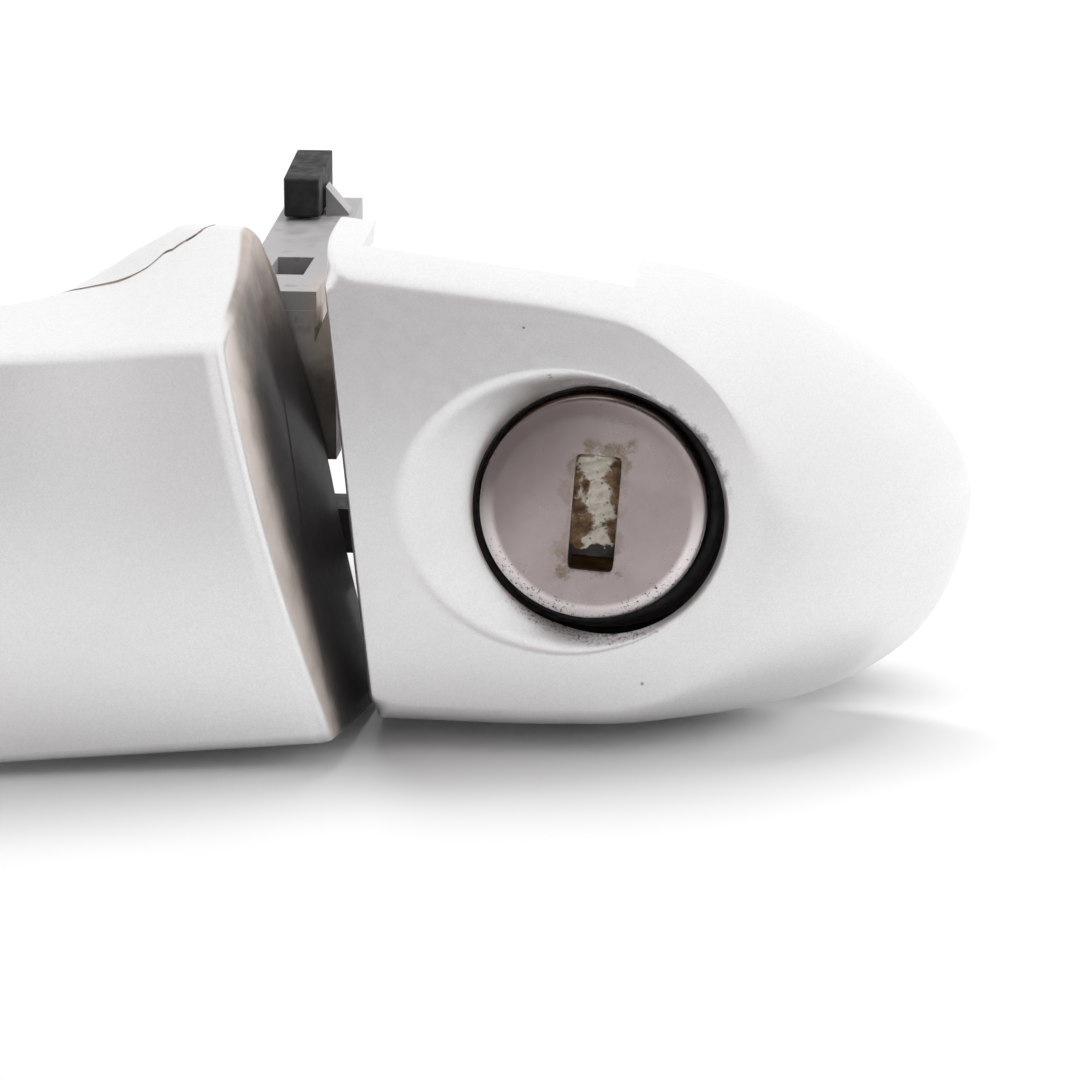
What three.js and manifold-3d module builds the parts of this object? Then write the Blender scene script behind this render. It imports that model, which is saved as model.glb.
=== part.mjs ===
// Outside door handle of a car: a pull grip hinged at its front end, a round-nosed lock cover with the
// key cylinder, and the carrier inside the door that holds both and carries the bellcrank lever.
//
// Millimetres. +X runs towards the lock (rear of the door), +Y into the door, +Z up.
// The origin is where the lock axis crosses the outer face of the door skin.
import * as THREE from "three";
import { mergeVertices } from "three/addons/utils/BufferGeometryUtils.js";
import Module from "manifold-3d";

const wasm = await Module();
wasm.setup();

// ---- driving dimensions -------------------------------------------------------------------------

const GAP = 0.3; // between pieces that touch
const SKIN = 2.1; // door skin with its stiffening plate, between y = 0 and y = SKIN
const ROLL = THREE.MathUtils.degToRad(4.5); // lock cover and key slot lean this far, clockwise from outside

const LOCK = {
  faceY: -16.5,
  faceR: 10.3,
  faceEdge: 0.8,
  sheet: 0.55,
  headR: 9.5,
  headBack: -12.4,
  plugR: 7,
  plugBack: 22,
  barrelR: 10,
  boreR: 7.35,
  barrelBack: 18.6,
  slot: [4.1, 10.6],
  keyway: [3.5, 9.8],
};
const WAFER = { count: 5, first: -6.5, pitch: 3, thick: 1, width: 8, height: 10.8 };

const COVER = {
  rear: 1.1, // height of the rear rim above the skin
  front: 18, // height of the front pad
  wall: 2.2,
  holeR: 11.5,
  holeAt: [0.45, -0.45],
  holeHeight: 15,
  dish: [17.2, 13.4], // half width and half height of the scoop round the cylinder
  notch: { from: -22.9, to: 1.8, depth: -11.5 },
};

const PIVOT = { x: -196, y: 9, r: 2.5 }; // front hinge of the grip, along Z
const LEVER = { y: 34, z: -14, r: 2, tipY: 41, tipZ: 5 }; // bellcrank pivot along X, and its fork
const CROSS_PIN_R = 1.75;
const CLAMP_AT = [10.8, -5]; // axis of the clamp screw, along X

// Grip: values at stations along X, joined by smooth curves.
const GRIP = {
  tip: -203,
  wall: 2.4,
  front: [[-203, -9], [-200, -14], [-192, -19.5], [-178, -26], [-150, -33.5], [-110, -37.5],
    [-70, -33.8], [-50, -29], [-38, -26], [-28.6, -24]],
  crease: [[-203, 2], [-200, 6.5], [-192, 11], [-178, 14.2], [-150, 15.8], [-110, 16], [-28.6, 16.3]],
  bottom: [[-203, -6], [-200, -11], [-192, -16], [-178, -19.8], [-150, -22], [-110, -22.4],
    [-70, -22.2], [-50, -21.5], [-28.6, -20.5]],
  back: [[-203, -4.5], [-200, -2.6], [-192, -1.5], [-181, -1.5], [-172, -6], [-160, -14.5], [-145, -19],
    [-110, -20.5], [-75, -18.5], [-60, -14.5], [-51, -9], [-45, -4], [-40, -1.6], [-28.6, -1.5]],
  partTop: [[-203, 3], [-200, 8], [-192, 13], [-178, 16.8], [-150, 18.4], [-56, 17.6], [-44, 18.6],
    [-38, 21.4], [-32.5, 23], [-28.6, 23]],
  backTop: [[-203, 2], [-200, 7], [-192, 12.5], [-178, 15], [-160, 13], [-110, 12.5], [-60, 13.5],
    [-48, 17.6], [-42, 21.6], [-37, 23.1], [-28.6, 23]],
  backBottom: [[-203, -5], [-200, -10], [-192, -16], [-178, -19], [-160, -17.5], [-110, -17.5],
    [-60, -18], [-48, -20.5], [-40, -22.2], [-28.6, -22.6]],
  backRound: [[-203, 1], [-192, 1.5], [-178, 3], [-160, 6], [-110, 6.5], [-60, 6], [-46, 3.5], [-38, 1.2],
    [-28.6, 1.2]],
  parting: [[-203, -5.5], [-198, -6], [-188, -11], [-170, -18.5], [-150, -23.5], [-110, -27],
    [-70, -21.5], [-53, -14], [-45, -9.5], [-40, -7], [-36.5, -4], [-34.6, -1]],
  bulge: 1.5, // crown of the front face
};

// ---- materials ----------------------------------------------------------------------------------

const finish = (color, roughness, metalness) =>
  new THREE.MeshStandardMaterial({ color, roughness, metalness });
const SILVER = finish(0xc9cacd, 0.35, 0.6);
const STAINLESS = finish(0xa8a09c, 0.3, 0.9);
const ZINC = finish(0xb9b4a9, 0.5, 0.7);
const STEEL = finish(0x8f9296, 0.35, 0.9);
const BRASS = finish(0xb59a5a, 0.4, 0.9);
const NYLON = finish(0x1d1e20, 0.6, 0);
const GREY_NYLON = finish(0x6d6a70, 0.6, 0);
const RUBBER = finish(0x141414, 0.85, 0);

// ---- solids: three.js shapes, joined and cut with manifold-3d -----------------------------------

function solid(geometry) {
  geometry.deleteAttribute("normal");
  geometry.deleteAttribute("uv");
  const merged = mergeVertices(geometry, 1e-4);
  return new wasm.Manifold(
    new wasm.Mesh({
      numProp: 3,
      vertProperties: merged.attributes.position.array,
      triVerts: new Uint32Array(merged.index.array),
    }),
  );
}

function geometryOf(body) {
  const mesh = body.getMesh();
  const geometry = new THREE.BufferGeometry();
  geometry.setAttribute("position", new THREE.BufferAttribute(mesh.vertProperties, 3));
  geometry.setIndex(new THREE.BufferAttribute(mesh.triVerts, 1));
  geometry.computeVertexNormals();
  return geometry;
}

const join = (...bodies) => bodies.reduce((all, next) => all.add(next));
const cut = (body, ...tools) => tools.reduce((rest, tool) => rest.subtract(tool), body);

function box([x0, x1], [y0, y1], [z0, z1]) {
  const geometry = new THREE.BoxGeometry(x1 - x0, y1 - y0, z1 - z0);
  return solid(geometry.translate((x0 + x1) / 2, (y0 + y1) / 2, (z0 + z1) / 2));
}

// A round bar between two values on one axis, centred on the other two.
function rod(axis, radius, [from, to], [a, b], segments = 24) {
  const geometry = new THREE.CylinderGeometry(radius, radius, to - from, segments);
  const middle = (from + to) / 2;
  if (axis === "x") geometry.rotateZ(Math.PI / 2).translate(middle, a, b);
  if (axis === "y") geometry.translate(a, middle, b);
  if (axis === "z") geometry.rotateX(Math.PI / 2).translate(a, b, middle);
  return solid(geometry);
}

const tube = (axis, outer, inner, span, at, segments = 24) =>
  cut(
    rod(axis, outer, span, at, segments),
    rod(axis, inner, [span[0] - 1, span[1] + 1], at, segments),
  );

// An outline drawn in the XY, YZ or XZ plane, given a thickness along the third axis.
function plate(plane, points, [from, to], holes = []) {
  const shape = new THREE.Shape(points.map(([a, b]) => new THREE.Vector2(a, b)));
  for (const hole of holes) shape.holes.push(new THREE.Path(hole.map(([a, b]) => new THREE.Vector2(a, b))));
  const geometry = new THREE.ExtrudeGeometry(shape, { depth: to - from, bevelEnabled: false });
  geometry.translate(0, 0, from);
  if (plane === "yz") geometry.rotateY(Math.PI / 2).rotateX(Math.PI / 2);
  if (plane === "xz") geometry.translate(0, 0, -from - to).rotateX(Math.PI / 2);
  return solid(geometry);
}

// A closed solid through rings of points, each with the same number of points, flat at both ends.
function loft(rings) {
  const n = rings[0].length;
  const points = [...rings.flat()];
  const index = [];
  for (let k = 0; k + 1 < rings.length; k++) {
    for (let i = 0; i < n; i++) {
      const a = k * n + i;
      const b = k * n + ((i + 1) % n);
      index.push(a, b, a + n, b, b + n, a + n);
    }
  }
  for (const [ring, base, first] of [[rings[0], 0, true], [rings.at(-1), (rings.length - 1) * n, false]]) {
    const centre = ring.reduce((sum, p) => sum.add(p), new THREE.Vector3()).divideScalar(n);
    points.push(centre);
    for (let i = 0; i < n; i++) {
      const a = base + i;
      const b = base + ((i + 1) % n);
      if (first) index.push(b, a, points.length - 1);
      else index.push(a, b, points.length - 1);
    }
  }
  const geometry = new THREE.BufferGeometry().setFromPoints(points);
  geometry.setIndex(index);
  return solid(geometry);
}

// A smooth function through [x, value] pairs.
function through(knots) {
  const slope = (i) => {
    const a = knots[Math.max(i - 1, 0)];
    const b = knots[Math.min(i + 1, knots.length - 1)];
    return (b[1] - a[1]) / (b[0] - a[0]);
  };
  return (x) => {
    const last = knots.length - 2;
    let i = knots.findIndex((k) => k[0] > x) - 1;
    if (i < 0) i = x < knots[0][0] ? 0 : last;
    const [x0, v0] = knots[i];
    const [x1, v1] = knots[i + 1];
    const w = x1 - x0;
    const t = THREE.MathUtils.clamp((x - x0) / w, 0, 1);
    const s = 1 - t;
    return v0 * s * s * (1 + 2 * t) + v1 * t * t * (3 - 2 * t)
      + slope(i) * w * t * s * s - slope(i + 1) * w * t * t * s;
  };
}

const assembly = new THREE.Group();
const leaning = new THREE.Group(); // what leans with the lock cover
leaning.rotation.y = ROLL;
assembly.add(leaning);

function add(group, name, body, material) {
  const mesh = new THREE.Mesh(geometryOf(body), material);
  mesh.name = name;
  group.add(mesh);
}

// ---- grip ---------------------------------------------------------------------------------------

const grip = Object.fromEntries(
  Object.entries(GRIP).map(([key, value]) => [key, Array.isArray(value) ? through(value) : value]),
);

// The slanted rear end of the grip: x on its front edge and on its back edge, by height.
const endFront = (z) => -28.6 - 0.248 * z + 0.0015 * z * z;
const endBack = (z) => -26 - 0.235 * z - 0.35 * Math.max(0, z - 19.5);
function endX(y, z) {
  const depth = THREE.MathUtils.clamp((y + 24) / 22.5, -0.2, 1);
  return THREE.MathUtils.lerp(endFront(z), endBack(z), depth);
}

// Corner of a section, rounded: points on an arc that touches both edges.
function rounded(before, corner, after, radius, steps) {
  const a = before.clone().sub(corner).normalize();
  const b = after.clone().sub(corner).normalize();
  const half = Math.acos(THREE.MathUtils.clamp(a.dot(b), -1, 1)) / 2;
  const shortest = Math.min(corner.distanceTo(before), corner.distanceTo(after));
  const reach = Math.min(radius / Math.tan(half), 0.48 * shortest);
  const r = reach * Math.tan(half);
  const centre = corner.clone().add(a.clone().add(b).normalize().multiplyScalar(r / Math.sin(half)));
  const from = corner.clone().addScaledVector(a, reach).sub(centre);
  const turn = Math.sign(from.cross(corner.clone().addScaledVector(b, reach).sub(centre)));
  const sweep = turn * (Math.PI - 2 * half);
  return Array.from({ length: steps }, (_, i) =>
    from.clone().rotateAround(new THREE.Vector2(), (sweep * i) / (steps - 1)).add(centre),
  );
}

// One section of the grip in the YZ plane, inset by a wall thickness.
function gripSection(x, inset = 0) {
  const v = (y, z) => new THREE.Vector2(y, z);
  const crease = v(grip.front(x) + inset, grip.crease(x) - inset);
  const frontBottom = v(grip.front(x) + 0.8 + inset, grip.bottom(x) + inset);
  const backBottom = v(grip.back(x) - inset, grip.backBottom(x) + inset);
  const backTop = v(grip.back(x) - inset, grip.backTop(x) - inset);
  const seam = THREE.MathUtils.clamp(grip.parting(x), grip.front(x) + inset + 1, grip.back(x) - inset - 0.4);
  const partTop = v(seam, grip.partTop(x) - inset);
  const round = Math.max(grip.backRound(x) - inset * 0.5, 0.4);
  const face = [0.25, 0.5, 0.75].map((t) =>
    crease.clone().lerp(frontBottom, t).add(v(-GRIP.bulge * 4 * t * (1 - t) * (inset ? 0.8 : 1), 0)),
  );
  return [
    ...rounded(partTop, crease, face[0], 1.6, 3),
    ...face,
    ...rounded(face[2], frontBottom, backBottom, 2.6, 4),
    ...rounded(frontBottom, backBottom, backTop, round, 4),
    ...rounded(backBottom, backTop, partTop, round, 4),
    partTop,
  ];
}

function gripBody(inset) {
  const from = GRIP.tip + inset;
  const stations = [-203, -201.5, -199, -195, -190, -184, -177, -170, -160, -148, -134, -110, -86, -70,
    -60, -53, -48, -44, -40, -36, -32, -28.6].filter((x) => x >= from);
  if (inset) stations.unshift(from + 2);
  return loft(
    stations.map((x) =>
      gripSection(x, inset).map((p) => {
        // The last stations lean over to meet the slanted end.
        const share = THREE.MathUtils.smoothstep(x, -53, -28.6);
        const end = endX(p.x, p.y) - inset;
        return new THREE.Vector3(x + share * (end + 28.6), p.x, p.y);
      }),
    ),
  );
}

function partingBlock(side) {
  const shift = side * (GAP / 2);
  const edge = [-206, -201, -196, -188, -179, -170, -160, -150, -130, -110, -90, -70, -61, -53, -48, -44, -41,
    -38.5, -36.5, -34.6].map((x) => [x, grip.parting(x) + shift]);
  const far = side < 0 ? -60 : 12;
  const outline =
    side < 0
      ? [[-206, far], [-10, far], [-10, 12], [-34.6 - shift, 12], ...edge.reverse()]
      : [[-34.6 - shift, far], [-206, far], ...edge];
  return plate("xy", outline, [-40, 40]);
}

const armRoot = { x: [-42, -33.9], y: [-13, -2], z: [3, 14.4] };
const screwAt = [[-182, 0], [-44, -13]]; // shell screws, along Y

function gripShells() {
  const hollow = cut(gripBody(0), gripBody(GRIP.wall));
  const outer = hollow.intersect(partingBlock(-1));
  const posts = screwAt.map(([x, z], i) =>
    rod("y", 3.2, i ? [-26.6, -16] : [-23.5, -13], [x, z], 12),
  );
  const armWindow = box(
    [armRoot.x[0] - GAP, armRoot.x[1] + GAP],
    [-16, 2],
    [armRoot.z[0] - GAP, armRoot.z[1] + 0.5],
  );
  const pilots = screwAt.map(([x, z], i) => rod("y", 1.7, i ? [-24, -10] : [-22, -8], [x, z], 8));
  add(assembly, "grip_outer_shell", cut(join(outer, ...posts), ...pilots, armWindow), SILVER);

  const windows = [
    armWindow,
    box([PIVOT.x - 3.6, PIVOT.x + 10.4], [-10, 2], [-5.3, 5.3]),
    ...screwAt.map(([x, z]) => rod("y", 3.1, [-3.8, 2], [x, z], 12)),
    ...screwAt.map(([x, z]) => rod("y", 1.8, [-12, 2], [x, z], 8)),
  ];
  add(assembly, "grip_inner_shell", cut(hollow.intersect(partingBlock(1)), ...windows), SILVER);
}

function shellScrew([x, z], i) {
  const back = -1.9;
  const length = i ? 14 : 11.5;
  const body = join(
    rod("y", 2.7, [back - 1.5, back], [x, z], 16),
    rod("y", 1.4, [back - length, back - 1], [x, z], 12),
  );
  return cut(body, box([x - 2, x + 2], [back - 0.7, back + 1], [z - 0.4, z + 0.4]));
}

function hingeHook() {
  const { x, y, r } = PIVOT;
  const eye = tube("z", 5.4, r + 0.35, [-6.7, 6.7], [x, y], 24);
  const stem = box([x + 2.6, x + 7.4], [-6, y], [-5, 5]);
  const root = box([x + 2.6, x + 10], [-8.4, -4], [-5, 5]);
  const gusset = plate("xy", [[x + 7, -4.5], [x + 10, -4.5], [x + 7, 4]], [-2, 2]);
  return cut(join(eye, stem, root, gusset), rod("z", r + 0.35, [-8, 8], [x, y], 24));
}

function pullArm() {
  const root = box(armRoot.x, armRoot.y, armRoot.z);
  const spine = plate(
    "xy",
    [[-38, -3], [-33.9, -3], [-33.9, -1], [-27, -1], [-26.6, 3], [-27.4, 14], [-29.2, 56], [-36.9, 56],
      [-35.6, 3], [-38, 1]],
    [3, 14.6],
  );
  const shoulder = box([-33.6, -26.8], [-0.9, 6.4], [13, 16.4]);
  const wedge = plate(
    "xz",
    [[-25.6, 15.2], [-28.4, 8], [-26.6, 0.4], [-25.1, 0.4], [-25.1, 6], [-25.3, 14.8]],
    [-1, 2.6],
  );
  const web = plate("xz", [[-31.8, 14], [-29.4, 14], [-29.4, 14.8], [-31.8, 17.6]], [46, 49]);
  const relief = box([-40, -24], [26, 36], [0, 9]); // leaves a hook at the far end
  const pocket = box([-33.8, -30.2], [15.5, 24], [9, 18]);
  const pinHole = rod("x", CROSS_PIN_R + GAP, [-50, -25], [LEVER.tipY, LEVER.tipZ], 12);
  const studHole = rod("z", 1.5, [10.5, 16], [-34, 49], 12);
  return cut(join(root, spine, shoulder, wedge, web), relief, pocket, pinHole, studHole);
}

function armBumper() {
  const block = plate("yz", [[43, 14.9], [54.4, 14.9], [54.4, 20], [43, 18.9]], [-35.8, -32.1]);
  return join(block, rod("z", 1.2, [11, 15.5], [-34, 49], 12));
}

// A chute open at the top and towards the lock, so the arm can swing clear of it.
function armGuide() {
  const y = [4, 13];
  const floor = box([-37.5, -28], y, [1, 2.7]);
  const side = box([-37.5, -35.9], y, [1, 12]);
  const foot = box([-37.5, -34.6], y, [-4.9, 2]);
  return join(floor, side, foot);
}

// ---- lock cover ---------------------------------------------------------------------------------
// Drawn round the lock axis: for each direction the rim, the edge of the front pad and the scoop.

const smoothMin = (a, b, k) => {
  const h = Math.max(k - Math.abs(a - b), 0) / k;
  return Math.min(a, b) - (h * h * k) / 4;
};
const FAR = 1e3;
const across = (distance, facing) => (facing > 1e-3 ? distance / facing : FAR);

// Distance from the lock axis to the D-shaped edge with the given half height, nose and left side.
function dShape(angle, { top, bottom, nose, side, taper }, soft) {
  const c = Math.cos(angle);
  const s = Math.sin(angle);
  const height = s > 0 ? top : bottom;
  const left = across(side, -c - 0.175 * s);
  const flat = across(height, Math.abs(s) + taper * c);
  const round = 1 / Math.hypot(c / nose, s / height);
  return smoothMin(c > 0 ? round : flat, left, soft);
}
const RIM = { top: 20.4, bottom: 21.7, nose: 34.4, side: 22.6, taper: 0.05 };
const PAD = { top: 16.9, bottom: 18.2, nose: 18.6, side: 21.7, taper: 0.045 };
const rimRadius = (angle) => dShape(angle, RIM, 0.9);
const padRadius = (angle) => dShape(angle, PAD, 0.7);
const scoopRadius = (angle) =>
  1 / Math.hypot(Math.cos(angle) / COVER.dish[0], Math.sin(angle) / COVER.dish[1]);
const padHeight = (u, v) => COVER.front - 0.03 * u - 0.0016 * v * v;

// How boxy the shoulder is: crisp along the top and bottom left, full and round at the nose.
function shoulder(angle) {
  const c = Math.cos(angle);
  const left = THREE.MathUtils.smoothstep(-c, 0.55, 0.8);
  const nose = THREE.MathUtils.smoothstep(c, -0.2, 0.85);
  return THREE.MathUtils.lerp(THREE.MathUtils.lerp(1.35, 1.95, nose), 2.6, left);
}

function coverPoint(u, v, height) {
  return new THREE.Vector3(u, -height, v);
}

// A ring of the outer surface (inset 0) or the inner one: step 0 is the rim, 1 the edge of the pad.
function shoulderRing(angles, step, inset) {
  return angles.map((angle) => {
    const p = 2 / shoulder(angle);
    const q = Math.cos((step * Math.PI) / 2) ** p;
    const h = Math.sin((step * Math.PI) / 2) ** p;
    const pad = padRadius(angle) - inset * 0.7;
    const r = pad + (rimRadius(angle) - inset - pad) * q;
    const u = r * Math.cos(angle);
    const v = r * Math.sin(angle);
    const top = padHeight(pad * Math.cos(angle), pad * Math.sin(angle)) - inset;
    return coverPoint(u, v, COVER.rear + (top - COVER.rear) * h);
  });
}

// A ring of the scoop: step 0 is its edge on the pad, 1 the hole.
function scoopRing(angles, step, inset) {
  return angles.map((angle) => {
    const edge = Math.min(scoopRadius(angle), padRadius(angle) - 0.6) + inset * 0.5;
    const hole = new THREE.Vector2(COVER.holeR, 0).rotateAround(new THREE.Vector2(), angle);
    const a = new THREE.Vector2(Math.cos(angle), Math.sin(angle)).multiplyScalar(edge);
    const p = a.clone().lerp(hole.add(new THREE.Vector2(...COVER.holeAt)), step);
    const drop = Math.sin((step * Math.PI) / 2) ** 0.9;
    const height = THREE.MathUtils.lerp(padHeight(a.x, a.y), COVER.holeHeight, drop) - inset;
    return coverPoint(p.x, p.y, height);
  });
}

function lockCover() {
  const corners = [140.6, 144.1, 226, 230.5].map(THREE.MathUtils.degToRad);
  const even = Array.from({ length: 44 }, (_, i) => (i * 2 * Math.PI) / 44);
  const angles = [...even, ...corners].sort((a, b) => a - b);
  const outside = [0, 0.2, 0.45, 0.7, 0.88, 1].map((s) => shoulderRing(angles, s, 0));
  const scoop = [0, 0.3, 0.65, 1].map((s) => scoopRing(angles, s, 0));
  const back = [1, 0.4, 0].map((s) => scoopRing(angles, s, COVER.wall));
  const inside = [1, 0.75, 0.4, 0].map((s) => shoulderRing(angles, s, COVER.wall));
  const rings = [...outside, ...scoop, ...back, ...inside];
  const n = angles.length;
  const index = [];
  for (let k = 0; k < rings.length; k++) {
    const here = k * n;
    const next = ((k + 1) % rings.length) * n;
    for (let i = 0; i < n; i++) {
      const j = (i + 1) % n;
      index.push(here + i, here + j, next + i, here + j, next + j, next + i);
    }
  }
  const geometry = new THREE.BufferGeometry().setFromPoints(rings.flat());
  geometry.setIndex(index);
  const shell = solid(geometry);
  const collar = tube("y", 13.4, 11.7, [-13.6, -6], COVER.holeAt, 40);
  const { from, to, depth } = COVER.notch;
  return cut(join(shell, collar), box([from, to], [depth, 1], [12, 30]));
}

function lockSeal() {
  const [u, v] = COVER.holeAt;
  const ring = rod("y", COVER.holeR - 0.15, [-14, -12.3], [u, v], 40);
  return cut(ring, rod("y", LOCK.faceR + 0.15, [-16, -10], [0, 0], 40));
}

// ---- key cylinder -------------------------------------------------------------------------------

const slotBox = ([width, height], y) => box([-width / 2, width / 2], y, [-height / 2, height / 2]);

function plugFace() {
  const { faceR: r, faceY: y, faceEdge: e, sheet } = LOCK;
  const edge = [0, 1, 2, 3].map((i) => {
    const a = (i * Math.PI) / 6;
    return new THREE.Vector2(r - e + e * Math.sin(a), y + e - e * Math.cos(a));
  });
  const back = LOCK.headBack - GAP;
  const profile = [
    new THREE.Vector2(0, y), ...edge, new THREE.Vector2(r, back), new THREE.Vector2(r - sheet, back),
    new THREE.Vector2(r - sheet, y + sheet), new THREE.Vector2(0, y + sheet),
  ];
  return cut(solid(new THREE.LatheGeometry(profile, 40)), slotBox(LOCK.slot, [y - 1, y + 2]));
}

function plug() {
  const front = LOCK.faceY + LOCK.sheet + GAP;
  const body = join(
    rod("y", LOCK.headR, [front, LOCK.headBack], [0, 0], 32),
    rod("y", LOCK.plugR, [LOCK.headBack - 1, LOCK.plugBack], [0, 0], 32),
  );
  const pocket = box([-2.9, 3.1], [front - 1, -9.4], [-6.2, 6.2]);
  const slots = wafers().map((y) => box([-4.3, 4.3], [y - 0.65, y + 0.65], [-8, 8]));
  const groove = tube("y", 9, 6, [19, 20.4], [0, 0], 32);
  return cut(body, pocket, slotBox(LOCK.keyway, [-16, 12]), ...slots, groove);
}

const wafers = () => Array.from({ length: WAFER.count }, (_, i) => WAFER.first + i * WAFER.pitch);

function wafer(y, i) {
  const { width, height, thick } = WAFER;
  const span = [y - thick / 2, y + thick / 2];
  const window = box([-1.9, 1.9], [y - 1, y + 1], [-4.6 + (i % 2) * 0.5, 4.1 + (i % 2) * 0.5]);
  return cut(slotBox([width, height], span), window);
}

const SHUTTER_PIN = { u: -2.1, y: -15 };
function shutterFlap() {
  const { u, y } = SHUTTER_PIN;
  return join(rod("z", 0.45, [-5.7, 5.7], [u, y], 10), box([u, 2.4], [y - 0.3, y + 0.25], [-5.6, 5.6]));
}

function lockHousing() {
  const { barrelR, boreR, barrelBack } = LOCK;
  const barrel = join(
    rod("y", 10.7, [-11.8, -6], [0, 0], 40),
    rod("y", barrelR, [-7, barrelBack], [0, 0], 40),
    rod("y", 14.6, [-3.8, -1.5], [0, 0], 40),
    box([6, 16.5], [5.5, 16], [-9, -1]), // lug for the clamp screw
  );
  const bore = rod("y", boreR, [-20, 30], [0, 0], 32);
  const screwHole = rod("x", 2.05, [11, 20], CLAMP_AT, 12);
  const drain = box([-2, 2], [-9, -4], [-14, -6]);
  return cut(barrel, bore, screwHole, drain);
}

const circlip = () =>
  cut(tube("y", 8.4, 6.2, [19.3, 20.1], [0, 0], 28), box([-2.6, 2.6], [18, 21], [-12, 0]));

function tailPaddle() {
  const disc = rod("y", 6.2, [LOCK.plugBack + GAP, 24], [0, 0], 24);
  const blade = box([-1.1, 1.1], [23.5, 44], [-5, 5]);
  const tip = plate("yz", [[38, 3.2], [46, 3.2], [46, 8], [38, 8]], [-2, 2]);
  const tipLow = plate("yz", [[38, -8], [46, -8], [46, -3.2], [38, -3.2]], [-2, 2]);
  return cut(join(disc, blade), tip, tipLow);
}

// ---- gaskets ------------------------------------------------------------------------------------

function ringPath(radius, steps, [a, b] = [0, 0]) {
  return Array.from({ length: steps }, (_, i) => {
    const t = (i * 2 * Math.PI) / steps;
    return [a + radius * Math.cos(t), b + radius * Math.sin(t)];
  });
}

function coverGasket() {
  const outline = Array.from({ length: 40 }, (_, i) => {
    const t = (i * 2 * Math.PI) / 40;
    const r = rimRadius(t) - 2.6;
    return [r * Math.cos(t), Math.min(r * Math.sin(t), 15)];
  });
  return plate("xz", outline, [-0.8, 0], [ringPath(12.4, 28).reverse()]);
}

const eightSided = ([x0, x1], [z0, z1], corner) => [
  [x0 + corner, z0], [x1 - corner, z0], [x1, z0 + corner], [x1, z1 - corner],
  [x1 - corner, z1], [x0 + corner, z1], [x0, z1 - corner], [x0, z0 + corner],
];

// Under the front of the grip, with a collar that lines the window for the hinge hook.
function frontGasket() {
  const pad = plate("xz", eightSided([-198, -176], [-13, 10], 5), [-1.1, 0]);
  const collar = box([-197, -185.8], [-0.6, SKIN - GAP], [-6.8, 6.8]);
  return cut(join(pad, collar), box([-195.8, -187], [-5, 5], [-5.6, 5.6]));
}

const footGasket = () => plate("xz", eightSided([-50, -39], [-19, 17], 2), [-1.1, 0]);

// ---- carrier ------------------------------------------------------------------------------------

function carrierFrame() {
  const y0 = SKIN;
  const { x, y, r } = PIVOT;
  const frontBlock = cut(
    box([x - 10, x + 13], [y0, 19.5], [-11, 11]),
    box([x - 7, x + 20], [y0 - 3, 16], [-7.1, 7.1]),
  );
  const rails = [box([x + 12, -47], [y0, 9], [-11, -5.5]), box([x + 12, -47], [y0, 9], [4, 9.5])];
  const rungs = [-150, -118, -86].map((at) => box([at - 2.5, at + 2.5], [y0, 7], [-8, 6]));
  const post = box([-51, -46.5], [y0, 9], [-19, 9.5]);
  const leftEar = box([-50, -47], [y0, 41], [-20, -8]);
  const rightEar = box([-37, -34.4], [y0, 41], [-20, -8]);
  const sill = box([-51, -33], [y0, 9], [-16, -11.5]);
  const neck = box([-48, -14], [y0, 8], [-9.5, -5.2]);
  const riser = box([-37, -33], [y0, 8], [-13, -5.2]);
  const pad = plate("xz", [[-20, -12.4], [14, -12.4], [22, -6], [22, 1], [11, 12.4], [-20, 12.4]], [y0, 5.5]);
  const clamp = rod("y", 13, [y0, 14], [0, 0], 40);
  const screwBlock = box([11, 25.5], [y0, 17.5], [-11.5, 1.5]);
  const ends = [frontBlock, post, leftEar, rightEar, sill];
  const body = join(...ends, ...rails, ...rungs, neck, riser, pad, clamp, screwBlock);
  return cut(
    body,
    rod("z", r + 0.2, [-20, 20], [x, y], 20),
    rod("y", LOCK.barrelR + 0.45, [-5, 30], [0, 0], 40),
    rod("x", LEVER.r + 0.2, [-60, -30], [LEVER.y, LEVER.z], 16),
    box([5, 17.3], [y0 - 2, 30], [-9.6, -0.4]),
    rod("x", 2.6, [10, 40], CLAMP_AT, 16),
    box([19.6, 22.2], [7, 14.8], [-8.8, 20]), // pocket for the nut
  );
}

function squareNut([x0, x1], at) {
  const block = box([x0, x1], [at[0] - 3.5, at[0] + 3.5], [at[1] - 3.5, at[1] + 3.5]);
  return cut(block, rod("x", 2.1, [x0 - 1, x1 + 1], at, 12));
}

function clampScrew() {
  const screw = join(rod("x", 1.8, [12, 26], CLAMP_AT, 16), rod("x", 3.8, [25.8, 28.4], CLAMP_AT, 20));
  return cut(screw, rod("x", 1.8, [26.8, 30], CLAMP_AT, 6));
}

// ---- bellcrank lever ----------------------------------------------------------------------------

const fromLever = (angle, radius) => [LEVER.y + radius * Math.sin(angle), LEVER.z + radius * Math.cos(angle)];
const forkAngle = Math.atan2(LEVER.tipY - LEVER.y, LEVER.tipZ - LEVER.z);

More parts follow.
